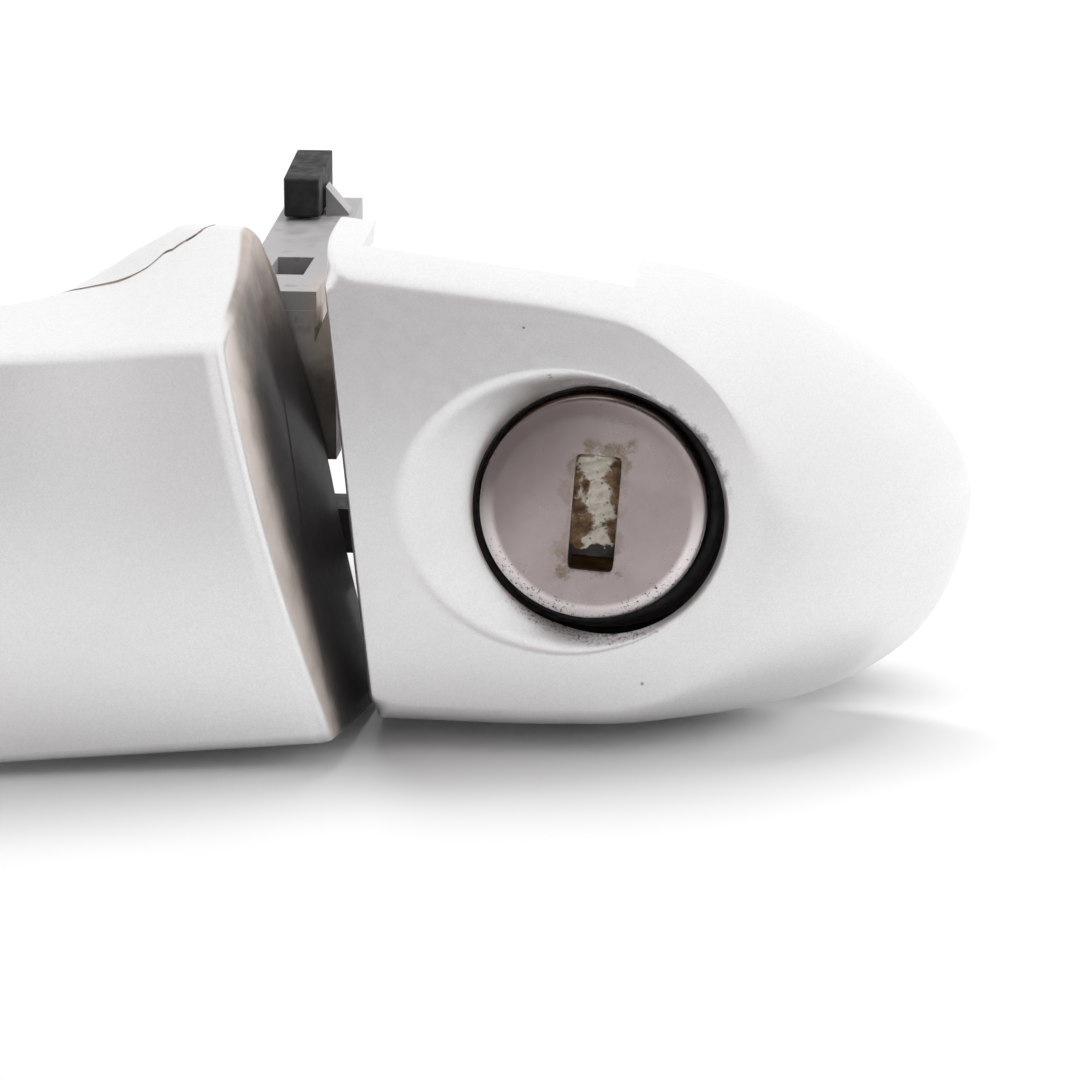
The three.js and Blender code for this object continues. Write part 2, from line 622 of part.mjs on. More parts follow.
function bellcrank() {
  const hub = rod("x", 5.4, [-46.2, -40.6], [LEVER.y, LEVER.z], 24);
  const side = (offset, radius) => {
    const [y, z] = fromLever(forkAngle, radius);
    return [y + offset * Math.cos(forkAngle), z - offset * Math.sin(forkAngle)];
  };
  const finger = plate(
    "yz",
    [side(-5.6, 13), side(-5.6, 25), side(5.6, 25), side(5.6, 13), side(4, 0), side(-4, 0)],
    [-46, -41],
  );
  const slot = plate("yz", [side(-3.5, 17), side(-3.5, 28), side(3.5, 28), side(3.5, 17)], [-48, -38]);
  const cableArm = plate("yz", [[34, -18.5], [27, -19], [24.5, -16], [27, -12.5], [34, -9.5]], [-45.4, -42]);
  const cableEye = rod("x", 1.3, [-50, -38], [27.2, -15.9], 12);
  const tail = box([-45.6, -41.4], [36, 43], [-17.5, -10.5]);
  const bore = rod("x", LEVER.r + 0.25, [-50, -38], [LEVER.y, LEVER.z], 16);
  return cut(join(hub, finger, cableArm, tail), slot, cableEye, bore,
    box([-47, -40], [42.2, 50], [-30, 0]));
}

const counterweight = () =>
  cut(rod("x", 5.6, [-46.2, -40.8], [48.2, -14], 20), box([-50, -38], [40, 42.6], [-25, 0]));

// Torsion spring round the lever pin: a coil with one leg on the carrier and one on the lever.
function returnSpring() {
  const turns = 2;
  const radius = 4.1;
  const points = Array.from({ length: turns * 14 + 1 }, (_, i) => {
    const t = (i / 14) * 2 * Math.PI;
    return new THREE.Vector3(
      -39.8 + (i * 1.9) / (turns * 14),
      LEVER.y + radius * Math.cos(t),
      LEVER.z + radius * Math.sin(t),
    );
  });
  points.unshift(new THREE.Vector3(-39.8, LEVER.y + radius, LEVER.z - 6));
  points.push(new THREE.Vector3(-37.9, LEVER.y + radius, LEVER.z + 7));
  const path = new THREE.CatmullRomCurve3(points, false, "centripetal");
  const section = new THREE.Shape(ringPath(0.45, 6).map(([a, b]) => new THREE.Vector2(a, b)));
  return solid(new THREE.ExtrudeGeometry(section, { steps: 64, bevelEnabled: false, extrudePath: path }));
}

// ---- assembly -----------------------------------------------------------------------------------

gripShells();
screwAt.forEach((at, i) =>
  add(assembly, i ? "shell_screw_rear" : "shell_screw_front", shellScrew(at, i), STEEL));
add(assembly, "hinge_hook", hingeHook(), ZINC);
add(assembly, "pull_arm", pullArm(), ZINC);
add(assembly, "arm_guide", armGuide(), GREY_NYLON);
add(assembly, "arm_bumper", armBumper(), RUBBER);
add(assembly, "arm_cross_pin", rod("x", CROSS_PIN_R, [-46.5, -28.8], [LEVER.tipY, LEVER.tipZ], 16), STEEL);

add(leaning, "lock_cover", lockCover(), SILVER);
add(leaning, "lock_seal", lockSeal(), RUBBER);
add(leaning, "plug_face", plugFace(), STAINLESS);
add(leaning, "lock_plug", plug(), BRASS);
add(leaning, "shutter_flap", shutterFlap(), STAINLESS);
wafers().forEach((y, i) => add(leaning, `wafer_${i + 1}`, wafer(y, i), BRASS));
add(leaning, "tail_paddle", tailPaddle(), STEEL);
add(leaning, "circlip", circlip(), STEEL);
add(leaning, "cover_gasket", coverGasket(), RUBBER);
add(assembly, "lock_housing", lockHousing(), ZINC);

add(assembly, "carrier_frame", carrierFrame(), NYLON);
add(assembly, "hinge_pin", rod("z", PIVOT.r, [-11.5, 11.5], [PIVOT.x, PIVOT.y], 20), STEEL);
add(assembly, "lever_pin", rod("x", LEVER.r, [-50.6, -33.8], [LEVER.y, LEVER.z], 16), STEEL);
add(assembly, "clamp_screw", clampScrew(), STEEL);
add(assembly, "clamp_nut", squareNut([19.9, 21.9], CLAMP_AT), STEEL);
add(assembly, "front_gasket", frontGasket(), RUBBER);
add(assembly, "foot_gasket", footGasket(), RUBBER);

add(assembly, "bellcrank_lever", bellcrank(), ZINC);
add(assembly, "counterweight", counterweight(), STEEL);
add(assembly, "return_spring", returnSpring(), STEEL);

export default assembly;
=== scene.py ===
"""Looks of an outside car door handle: silver pull grip, lock cover with its key cylinder, and the
carrier behind the door skin. Metres in the frame of the CAD model; lengths below are in millimetres."""

import math

import bmesh
import bpy
from mathutils import Matrix, Vector


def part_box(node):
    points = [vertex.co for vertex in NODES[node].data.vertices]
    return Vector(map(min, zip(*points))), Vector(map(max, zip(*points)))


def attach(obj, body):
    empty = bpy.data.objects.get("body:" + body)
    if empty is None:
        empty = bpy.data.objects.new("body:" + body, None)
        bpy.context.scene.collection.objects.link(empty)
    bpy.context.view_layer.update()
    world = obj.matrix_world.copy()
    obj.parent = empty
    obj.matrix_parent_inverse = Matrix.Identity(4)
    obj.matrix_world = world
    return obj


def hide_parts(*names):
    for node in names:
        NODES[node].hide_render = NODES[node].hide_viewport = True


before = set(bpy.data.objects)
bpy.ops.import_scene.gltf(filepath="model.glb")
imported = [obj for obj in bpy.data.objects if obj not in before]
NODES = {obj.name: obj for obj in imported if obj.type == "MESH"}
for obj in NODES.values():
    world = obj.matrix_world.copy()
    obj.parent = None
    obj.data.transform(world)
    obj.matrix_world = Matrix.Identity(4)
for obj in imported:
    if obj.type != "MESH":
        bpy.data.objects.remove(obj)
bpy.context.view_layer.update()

MM = 0.001
ROLL = math.radians(4.5)  # the lock cover leans this far about the lock axis
LEAN = Matrix.Rotation(ROLL, 4, "Y")
SLIVER = 0.02  # shorter edges are merged away after a cut
LOCK_FACE = -16.5  # depth of the key cylinder's face
FACE_R = 10.3  # radius of its cap
SLOT = (4.1, 10.7)  # width and height of the key slot
SLOT_AT = (0.2, -0.25)
HOLE_R = 11.45  # of the cover's hole for the cylinder
HOLE_AT = (0.48, -0.2)


# ---- curves and meshes -------------------------------------------------------------------------


def lerp(a, b, t):
    return a + (b - a) * t


def smoothstep(x, lo, hi):
    t = min(max((x - lo) / (hi - lo), 0.0), 1.0)
    return t * t * (3 - 2 * t)


def through(knots):
    """A smooth function through (x, value) pairs."""

    def slope(i):
        a, b = knots[max(i - 1, 0)], knots[min(i + 1, len(knots) - 1)]
        return (b[1] - a[1]) / (b[0] - a[0])

    def value(x):
        i = next((k - 1 for k, knot in enumerate(knots) if knot[0] > x), len(knots) - 2)
        i = max(i, 0)
        (x0, v0), (x1, v1) = knots[i], knots[i + 1]
        w = x1 - x0
        t = min(max((x - x0) / w, 0.0), 1.0)
        s = 1 - t
        ends = v0 * s * s * (1 + 2 * t) + v1 * t * t * (3 - 2 * t)
        return ends + slope(i) * w * t * s * s - slope(i + 1) * w * t * t * s

    return value


def smooth_min(a, b, k):
    h = max(k - abs(a - b), 0) / k
    return min(a, b) - h * h * k / 4


def new_object(name, bm, body, node=None, material=None, smooth=40):
    """Makes an object from a bmesh in millimetres, smooth-shaded up to an angle, riding on a body."""
    bmesh.ops.scale(bm, vec=(MM, MM, MM), verts=bm.verts)
    mesh = bpy.data.meshes.new(name)
    bm.to_mesh(mesh)
    bm.free()
    mesh.polygons.foreach_set("use_smooth", [True] * len(mesh.polygons))
    mesh.set_sharp_from_angle(angle=math.radians(smooth))
    obj = bpy.data.objects.new(name, mesh)
    bpy.context.scene.collection.objects.link(obj)
    if material:
        mesh.materials.append(material)
    if body:
        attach(obj, body)
    if node:
        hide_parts(node)
    return obj


def loft(rings, caps=True, loop=False):
    """A mesh through rings of points, closed at its ends. With loop the last ring joins the first."""
    bm = bmesh.new()
    rows = [[bm.verts.new(p) for p in ring] for ring in rings]
    n = len(rings[0])
    last = len(rows) if loop else len(rows) - 1
    for k in range(last):
        a, b = rows[k], rows[(k + 1) % len(rows)]
        for i in range(n):
            j = (i + 1) % n
            bm.faces.new((a[i], a[j], b[j], b[i]))
    if caps and not loop:
        bm.faces.new(rows[0])
        bm.faces.new(rows[-1][::-1])
    bmesh.ops.remove_doubles(bm, verts=bm.verts, dist=1e-4)
    bmesh.ops.recalc_face_normals(bm, faces=bm.faces)
    return bm


def cut_along(bm, g):
    """Adds an edge loop where g(point) is 0."""
    value = {v: g(v.co) for v in bm.verts}
    new = set()
    for edge in sorted(bm.edges, key=lambda e: e.index):
        a, b = edge.verts
        if value[a] * value[b] < 0:
            t = value[a] / (value[a] - value[b])
            _, vert = bmesh.utils.edge_split(edge, a, t)
            new.add(vert)
    for face in list(bm.faces):
        ends = [v for v in face.verts if v in new]
        if len(ends) == 2:
            bmesh.utils.face_split(face, ends[0], ends[1])


def keep_where(bm, test):
    """Drops the faces whose middle fails a test, and the slivers that a cut leaves."""
    gone = [f for f in bm.faces if not test(f.calc_center_median())]
    bmesh.ops.delete(bm, geom=gone, context="FACES")
    bmesh.ops.remove_doubles(bm, verts=bm.verts, dist=SLIVER)
    bmesh.ops.dissolve_degenerate(bm, edges=bm.edges, dist=SLIVER)


def add_modifier(obj, kind, **settings):
    modifier = obj.modifiers.new(kind.title(), kind)
    for key, value in settings.items():
        setattr(modifier, key, value)
    return modifier


def round_edges(obj, radius, segments=2, angle=55):
    """Rounds the edges that are sharper than an angle in degrees."""
    add_modifier(
        obj,
        "BEVEL",
        width=radius * MM,
        segments=segments,
        limit_method="ANGLE",
        angle_limit=math.radians(angle),
    )


def thicken(obj, thickness, edge):
    """Gives a skin its thickness inwards and rounds its edges."""
    add_modifier(obj, "SOLIDIFY", thickness=thickness * MM, offset=-1, use_even_offset=False)
    round_edges(obj, edge, segments=3)
    add_modifier(obj, "WEIGHTED_NORMAL", keep_sharp=True)


def circle_angles(steps):
    return [2 * math.pi * i / steps for i in range(steps)]


# ---- materials ---------------------------------------------------------------------------------


class Net:
    """A material's node tree, with short calls to fill it."""

    def __init__(self, name):
        self.material = bpy.data.materials.new(name)
        self.material.use_nodes = True
        self.tree = self.material.node_tree
        self.tree.nodes.clear()
        self.out = self.add("ShaderNodeOutputMaterial")
        self.shader = self.add("ShaderNodeBsdfPrincipled")
        self.tree.links.new(self.shader.outputs[0], self.out.inputs[0])
        self.place = self.add("ShaderNodeTexCoord").outputs["Object"]

    def add(self, kind, **props):
        node = self.tree.nodes.new(kind)
        for key, value in props.items():
            setattr(node, key, value)
        return node

    def set(self, **values):
        for key, value in values.items():
            self.feed(self.shader.inputs[key.replace("_", " ")], value)

    def feed(self, socket, value):
        if isinstance(value, bpy.types.NodeSocket):
            self.tree.links.new(value, socket)
        elif isinstance(value, tuple) and len(value) == 3 and socket.type == "RGBA":
            socket.default_value = (*value, 1)
        else:
            socket.default_value = value

    def noise(self, scale, detail=3, rough=0.55, distort=0.0):
        node = self.add("ShaderNodeTexNoise")
        self.feed(node.inputs["Vector"], self.place)
        node.inputs["Scale"].default_value = scale
        node.inputs["Detail"].default_value = detail
        node.inputs["Roughness"].default_value = rough
        node.inputs["Distortion"].default_value = distort
        return node.outputs["Fac"]

    def cells(self, scale):
        node = self.add("ShaderNodeTexVoronoi", feature="F1")
        self.feed(node.inputs["Vector"], self.place)
        node.inputs["Scale"].default_value = scale
        return node

    def ramp(self, fac, *stops):
        node = self.add("ShaderNodeValToRGB")
        self.feed(node.inputs["Fac"], fac)
        ramp = node.color_ramp
        while len(ramp.elements) < len(stops):
            ramp.elements.new(0.5)
        for element, (at, colour) in zip(ramp.elements, stops):
            element.position = at
            if not isinstance(colour, tuple):
                colour = (colour, colour, colour)
            element.color = (*colour, 1)
        return node.outputs["Color"]

    def math(self, op, a, b=0.0):
        node = self.add("ShaderNodeMath", operation=op)
        self.feed(node.inputs[0], a)
        self.feed(node.inputs[1], b)
        return node.outputs[0]

    def times(self, a, b):
        return self.math("MULTIPLY", a, b)

    def plus(self, a, b):
        return self.math("ADD", a, b)

    def minus(self, a, b):
        return self.math("SUBTRACT", a, b)

    def along(self, u, v, a, b):
        """How far a point lies in the direction (a, b) of a plane with coordinates u and v."""
        return self.plus(self.times(u, a), self.times(v, b))

    def length(self, u, v):
        return self.math("SQRT", self.plus(self.times(u, u), self.times(v, v)))

    def drift(self, scale, detail, rough, swing):
        """Noise that swings evenly to both sides of 0."""
        return self.span(self.noise(scale, detail, rough), 0.3, 0.7, -swing, swing)

    def span(self, value, lo, hi, a=0.0, b=1.0):
        """Goes smoothly from a to b while the value goes from lo to hi."""
        node = self.add("ShaderNodeMapRange", interpolation_type="SMOOTHSTEP")
        self.feed(node.inputs["Value"], value)
        for key, number in (("From Min", lo), ("From Max", hi), ("To Min", a), ("To Max", b)):
            node.inputs[key].default_value = number
        return node.outputs[0]

    def mix(self, fac, a, b):
        node = self.add("ShaderNodeMix", data_type="RGBA")
        self.feed(node.inputs[0], fac)
        self.feed(node.inputs[6], a)
        self.feed(node.inputs[7], b)
        return node.outputs[2]

    def xyz(self, vector=None):
        """The three parts of a vector: of the place on the piece when none is given."""
        node = self.add("ShaderNodeSeparateXYZ")
        self.feed(node.inputs[0], vector or self.place)
        return node.outputs

    def near(self, x, y, z, inner, outer):
        """1 within inner mm of a point, 0 beyond outer mm."""
        node = self.add("ShaderNodeVectorMath", operation="DISTANCE")
        self.feed(node.inputs[0], self.place)
        node.inputs[1].default_value = (x * MM, y * MM, z * MM)
        return self.span(node.outputs["Value"], inner * MM, outer * MM, 1.0, 0.0)

    def bump(self, height, distance, strength=1.0, normal=None):
        node = self.add("ShaderNodeBump")
        self.feed(node.inputs["Height"], height)
        node.inputs["Distance"].default_value = distance * MM
        node.inputs["Strength"].default_value = strength
        if normal:
            self.feed(node.inputs["Normal"], normal)
        self.feed(self.shader.inputs["Normal"], node.outputs["Normal"])
        return node.outputs["Normal"]


def silver_paint(name, marks=(), grime=None):
    """Metallic paint: fine aluminium flake in a base coat under a clear coat, with a few stone chips."""
    net = Net(name)
    flake = net.cells(8500)
    tone = net.ramp(flake.outputs["Color"], (0.0, 0.74), (0.5, 0.79), (1.0, 0.84))
    cloud = net.noise(55, 4)
    colour = net.mix(net.span(cloud, 0.3, 0.7, 0.0, 0.3), tone, (0.76, 0.74, 0.75))
    chip = net.cells(330)
    wobble = net.noise(2600, 2)
    rim = net.plus(chip.outputs["Distance"], net.times(wobble, 0.06))
    seldom = net.xyz(chip.outputs["Color"])[0]
    spot = net.times(net.span(rim, 0.06, 0.09, 1.0, 0.0), net.span(seldom, 0.972, 0.98))
    for x, y, z, size in marks:
        mark = net.near(x, y, z, size * 0.35, size)
        ragged = net.span(net.noise(2100, 3), 0.42, 0.55)
        spot = net.math("MAXIMUM", spot, net.times(mark, ragged))
    colour = net.mix(spot, colour, (0.16, 0.145, 0.13))
    rough = net.span(net.noise(900, 3), 0.3, 0.7, 0.32, 0.38)
    # The grime function adds dirt and wear, and on the grip's end face also painted shade; its mask dulls
    # the paint there.
    if grime:
        colour, dirt_and_painted_shade = grime(net, colour)
        spot = net.math("MAXIMUM", spot, dirt_and_painted_shade)
    net.set(Base_Color=colour, Coat_Weight=0.2, Coat_Roughness=0.16)
    net.set(Metallic=net.span(spot, 0.0, 1.0, 0.8, 0.0))
    net.set(Roughness=net.plus(rough, net.times(spot, 0.3)))
    nib = net.cells(620)
    few = net.math("GREATER_THAN", net.xyz(nib.outputs["Color"])[2], 0.86)
    nibs = net.times(net.span(nib.outputs["Distance"], 0.0, 0.16, 1.0, 0.0), few)
    peel = net.bump(net.plus(net.noise(420, 2), nibs), 0.02, 0.25)
    net.bump(net.noise(8500, 2), 0.003, 0.4, peel)
    return net.material


def end_dirt_and_painted_shade(net, colour):
    """Road dirt and painted shade on the grip's rear end face: darker towards the bottom and the door,
    standing in for the shade of the narrow gap by the lock cover.
    """
    facing = net.xyz(net.add("ShaderNodeTexCoord").outputs["Normal"])[0]
    _, y, z = net.xyz()
    behind = net.times(net.span(facing, 0.15, 0.45), net.span(y, -22 * MM, -17 * MM))
    on_end = net.math("MAXIMUM", net.span(facing, 0.84, 0.95), behind)
    # painted shade: darker the deeper the point lies towards the door and the lower it lies, as in the
    # shaded gap
    deep = net.span(y, -26 * MM, -13 * MM)
    low = net.span(z, 22 * MM, 2 * MM)
    reach = net.times(deep, net.span(z, 22 * MM, 2 * MM, 0.45, 1.25))
    amount = net.plus(reach, net.times(low, 0.12))
    amount = net.plus(amount, net.span(net.noise(260, 5, 0.6), 0.35, 0.7, -0.06, 0.06))
    # pale beige dirt by the front edge, going through painted shade to near black at the back and the
    # bottom
    dirt = net.ramp(
        amount,
        (0.0, (0.82, 0.75, 0.71)),
        (0.3, (0.62, 0.54, 0.49)),
        (0.6, (0.24, 0.205, 0.185)),
        (0.8, (0.085, 0.075, 0.07)),
        (1.0, (0.04, 0.036, 0.035)),
    )
    seen = net.math("MULTIPLY", on_end, net.span(amount, -0.1, 0.4, 0.75, 1.0))
    return net.mix(seen, colour, dirt), seen


def hole_grime(net, colour):
    """Worn paint above the lock's hole and crumbs of dirt under it."""
    x, _, z = net.xyz()
    u = net.minus(x, HOLE_AT[0] * MM)
    v = net.minus(z, HOLE_AT[1] * MM)
    ragged = net.plus(net.length(u, v), net.drift(900, 5, 0.7, 0.35 * MM))
    above = net.span(net.along(u, v, 0.45, 0.89), 6 * MM, 10 * MM)
    worn = net.times(net.span(ragged, 11.5 * MM, 12.5 * MM, 1.0, 0.0), above)
    below = net.span(net.along(u, v, -0.15, -0.99), 8.5 * MM, 11 * MM)
    crumbs = net.times(net.span(ragged, 11.4 * MM, 12.5 * MM, 1.0, 0.0), below)
    crumbs = net.times(crumbs, net.span(net.noise(2600, 5, 0.75), 0.5, 0.6))
    colour = net.mix(net.times(worn, 0.85), colour, (0.085, 0.078, 0.078))
    return net.mix(crumbs, colour, (0.075, 0.055, 0.04)), net.math("MAXIMUM", worn, crumbs)


def zinc():
    """Cast zinc: dull lilac grey with stains of road dirt. A lighter tan on the arm's upper end is
    painted light, and the darkening towards the bottom, where it hangs behind the lock cover, is painted
    shade.
    """
    net = Net("zinc")
    x, _, z = net.xyz()
    grey = net.ramp(net.noise(420, 5, 0.6), (0.3, (0.36, 0.35, 0.36)), (0.7, (0.46, 0.445, 0.45)))
    tan = net.ramp(net.noise(600, 5, 0.6), (0.3, (0.44, 0.37, 0.31)), (0.7, (0.58, 0.50, 0.43)))
    # painted light: a lighter tan on the arm's upper end near the grip's end, where the light falls
    near = net.times(net.span(x, -29 * MM, -26 * MM), net.span(z, 19 * MM, 15 * MM))
    tone = net.mix(near, grey, tan)
    # painted shade: darker towards the bottom, in the gap behind the lock cover
    low = net.plus(net.span(z, 13 * MM, 6 * MM), net.drift(260, 4, 0.55, 0.2))
    tone = net.mix(net.span(low, 0.1, 0.9, 0.0, 0.85), tone, (0.07, 0.058, 0.052))
    stain = net.span(net.noise(190, 5, 0.7), 0.58, 0.7, 0.0, 0.6)
    net.set(Base_Color=net.mix(stain, tone, (0.16, 0.14, 0.125)), Metallic=0.35)
    net.set(Roughness=net.span(net.noise(420, 4), 0.3, 0.7, 0.45, 0.65))
    net.bump(net.noise(1500, 4), 0.03, 0.5)
    return net.material


def steel():
    """Bright small parts with a little rust."""
    net = Net("steel")
    tone = net.ramp(net.noise(700, 4), (0.3, (0.36, 0.36, 0.37)), (0.7, (0.55, 0.55, 0.56)))
    rust = net.span(net.noise(160, 6, 0.7), 0.62, 0.74)
    net.set(Base_Color=net.mix(rust, tone, (0.21, 0.12, 0.07)), Metallic=0.9)
    net.set(Roughness=net.span(net.noise(1200, 3), 0.3, 0.7, 0.28, 0.42))
    net.bump(net.noise(2600, 3), 0.01, 0.4)
    return net.material


def brass():
    net = Net("brass")
    tone = net.ramp(net.noise(420, 4), (0.3, (0.42, 0.3, 0.12)), (0.7, (0.66, 0.52, 0.25)))
    net.set(Base_Color=tone, Metallic=0.95, Roughness=net.span(net.noise(900, 3), 0.3, 0.7, 0.25, 0.42))
    net.bump(net.noise(2400, 3), 0.008, 0.4)
    return net.material


def plastic(name, dark, light):
    """Grained nylon with dust in the grain."""
    net = Net(name)
    tone = net.ramp(net.noise(150, 5, 0.6), (0.3, dark), (0.75, light))
    dust = net.span(net.noise(620, 4, 0.65), 0.6, 0.8, 0.0, 0.35)
    net.set(Base_Color=net.mix(dust, tone, (0.2, 0.19, 0.175)))
    net.set(Roughness=net.span(net.noise(800, 3), 0.3, 0.7, 0.42, 0.62))
    net.bump(net.cells(2600).outputs["Distance"], 0.03, 0.5)
    return net.material


def slot_axis(net, z):
    """Where the leaning middle line of the slot passes at a height."""
    return net.times(z, math.tan(ROLL))


def stainless():
    """The cylinder's thin cap, with painted shade towards its upper left and a painted highlight low on
    its rim, pits along its lower edge and rust behind its rim.
    """
    net = Net("stainless")
    x, y, z = net.xyz()
    radius = net.length(x, z)
    tone = net.ramp(net.noise(210, 5, 0.6), (0.25, (0.33, 0.275, 0.27)), (0.75, (0.42, 0.36, 0.36)))
    # painted shade: the cap darker towards its upper left
    upper_left_painted_shade = net.span(net.along(x, z, -0.72, 0.69), 1.5 * MM, 9.5 * MM, 0.0, 0.62)
    tone = net.mix(upper_left_painted_shade, tone, (0.13, 0.105, 0.10))
    rim = net.span(radius, 8.7 * MM, 9.3 * MM)
    # painted highlight: the rim lighter on its lower part, as a reflection
    lower_rim_painted_highlight = net.times(rim, net.span(z, 3 * MM, -5 * MM, 0.0, 0.85))
    tone = net.mix(lower_rim_painted_highlight, tone, (0.84, 0.79, 0.78))
    ragged = net.plus(radius, net.drift(500, 4, 0.55, 1.2 * MM))
    thick = net.times(net.span(ragged, 7.4 * MM, 9.9 * MM), net.span(z, 4.0 * MM, -9.0 * MM, 0.25, 1.0))
    pitted = net.plus(net.noise(3300, 5, 0.8), net.times(thick, 0.16))
    dots = net.span(pitted, 0.715, 0.745)
    tone = net.mix(dots, tone, (0.045, 0.032, 0.026))
    side = net.span(y, (LOCK_FACE + 0.62) * MM, (LOCK_FACE + 1.0) * MM)
    rust = net.ramp(
        net.noise(650, 5, 0.7),
        (0.3, (0.03, 0.018, 0.012)),
        (0.5, (0.15, 0.07, 0.03)),
        (0.75, (0.27, 0.15, 0.08)),
    )
    tone = net.mix(net.times(side, net.span(net.noise(300, 4), 0.3, 0.5, 0.7, 1.0)), tone, rust)
    across = net.minus(net.math("ABSOLUTE", net.minus(x, slot_axis(net, z))), SLOT[0] / 2 * MM)
    along = net.minus(net.math("ABSOLUTE", z), 5.3 * MM)
    from_slot = net.math("MAXIMUM", across, along)
    ends = net.span(net.math("ABSOLUTE", z), 2.5 * MM, 5.2 * MM, 0.45, 1.0)
    smudge = net.math("DIVIDE", from_slot, 1.1 * MM)
    smudge = net.plus(smudge, net.span(net.noise(620, 5, 0.65), 0.35, 0.65, -0.7, 0.9))
    grime = net.ramp(net.noise(2300, 4, 0.7), (0.3, (0.10, 0.07, 0.045)), (0.7, (0.30, 0.24, 0.18)))
    tone = net.mix(net.times(net.span(smudge, 0.0, 1.0, 0.8, 0.0), ends), tone, grime)
    net.set(Base_Color=tone, Metallic=0.85)
    rough = net.span(net.noise(520, 5, 0.6), 0.3, 0.7, 0.26, 0.38)
    net.set(Roughness=net.plus(rough, net.times(dots, 0.4)))
    net.bump(net.noise(900, 3), 0.006, 0.3)
    return net.material


def flap_metal(name):
    """The key slot's flap: pale scale over rust, with black grime at the bottom."""
    net = Net(name)
    x, _, z = net.xyz()
    middle = net.minus(x, net.plus(slot_axis(net, z), 0.15 * MM))
    edge = net.math("DIVIDE", net.math("ABSOLUTE", middle), 2.0 * MM)
    scale = net.plus(edge, net.span(net.noise(330, 5, 0.62, distort=0.3), 0.3, 0.7, -0.55, 0.75))
    pale = net.ramp(
        net.noise(1500, 5, 0.7),
        (0.3, (0.42, 0.37, 0.30)),
        (0.5, (0.62, 0.58, 0.50)),
        (0.75, (0.70, 0.67, 0.60)),
    )
    rust = net.ramp(
        net.noise(900, 5, 0.7),
        (0.3, (0.045, 0.025, 0.015)),
        (0.5, (0.17, 0.095, 0.045)),
        (0.75, (0.36, 0.25, 0.14)),
    )
    tone = net.mix(net.span(scale, 0.45, 0.8), pale, rust)
    speck = net.cells(1900)
    some = net.math("GREATER_THAN", net.xyz(speck.outputs["Color"])[1], 0.75)
    specks = net.times(net.span(speck.outputs["Distance"], 0.15, 0.3, 1.0, 0.0), some)
    tone = net.mix(net.times(specks, 0.8), tone, (0.10, 0.07, 0.05))
    low = net.plus(net.span(z, -2.9 * MM, -4.4 * MM), net.drift(800, 4, 0.55, 0.35))
    high = net.plus(net.span(z, 4.2 * MM, 5.2 * MM), net.drift(900, 4, 0.55, 0.3))
    tone = net.mix(net.span(high, 0.4, 0.8, 0.0, 0.75), tone, (0.10, 0.06, 0.04))
    net.set(Base_Color=net.mix(net.span(low, 0.4, 0.65), tone, (0.018, 0.014, 0.012)))
    net.set(Roughness=net.span(scale, 0.3, 0.9, 0.5, 0.8), Metallic=0.15)
    net.bump(net.plus(net.noise(1500, 5, 0.7), net.times(scale, 0.5)), 0.06, 0.6)
    return net.material


def rubber(name):
    """Black rubber, greyed by dust."""
    net = Net(name)
    tone = net.ramp(net.noise(260, 5, 0.65), (0.3, (0.008, 0.008, 0.009)), (0.75, (0.03, 0.029, 0.028)))
    dust = net.span(net.noise(1300, 5, 0.75), 0.6, 0.75, 0.0, 0.5)
    net.set(Base_Color=net.mix(dust, tone, (0.12, 0.1, 0.08)))
    net.set(Roughness=net.span(net.noise(900, 3), 0.3, 0.7, 0.6, 0.85))
    net.bump(net.noise(2400, 4), 0.03, 0.5)
    return net.material


# ---- grip --------------------------------------------------------------------------------------

SEAM_END = -35.2  # where the parting line leaves the back of the grip
# the lines that shape the grip: depth or height (and one radius) at stations along it
GRIP = {
    "front": [(-203, -9), (-200, -14), (-192, -19.5), (-178, -26), (-150, -33.5), (-110, -37.5),
              (-70, -33.8), (-50, -29), (-38, -26), (-28.6, -24)],
    "crease": [(-203, 2), (-200, 6.5), (-192, 11), (-178, 14.2), (-150, 15.8), (-110, 16), (-28.6, 16.3)],
    "bottom": [(-203, -6), (-200, -11), (-192, -16), (-178, -19.8), (-150, -22), (-110, -22.4),
               (-70, -22.2), (-50, -21.5), (-28.6, -20.5)],
    "back": [(-203, -4.5), (-200, -2.6), (-192, -1.5), (-181, -1.5), (-172, -6), (-160, -14.5),
             (-145, -19), (-110, -20.5), (-75, -18.5), (-60, -14.5), (-51, -9), (-45, -4), (-40, -1.6),
             (-28.6, -1.5)],
    "part_top": [(-203, 3), (-200, 8), (-192, 13), (-178, 16.8), (-150, 18.4), (-56, 17.5), (-44, 18.4),
                 (-40, 19.9), (-36, 22.4), (-32.5, 22.95), (-28.6, 22.85)],
    "back_top": [(-203, 2), (-200, 7), (-192, 12.5), (-178, 15), (-160, 13), (-110, 12.5), (-60, 13.5),
                 (-49, 17.4), (-45, 19.9), (-42, 21.8), (-37, 22.95), (-28.6, 22.85)],
    "back_bottom": [(-203, -5), (-200, -10), (-192, -16), (-178, -19), (-160, -17.5), (-110, -17.5),
                    (-60, -18), (-48, -20.5), (-40, -22.2), (-28.6, -22.6)],
    "back_round": [(-203, 1), (-192, 1.5), (-178, 3), (-160, 6), (-110, 6.5), (-60, 6), (-46, 3.5),
                   (-38, 1.8), (-28.6, 1.6)],
    "parting": [(-203, -5.5), (-198, -6), (-188, -11), (-170, -18.5), (-150, -23.5), (-110, -27),
                (-70, -19.5), (-56, -12.8), (-50, -10), (-45.8, -8.3), (-41.8, -7.8), (-39, -6.9),
                (-37.4, -5.7), (-36.1, -3.3), (SEAM_END, -1.2)],
}
CURVE = {key: through(knots) for key, knots in GRIP.items()}
CROWN = 1.45  # of the grip's front face
FACE_STEPS = 30  # along that face, before its edges are rounded
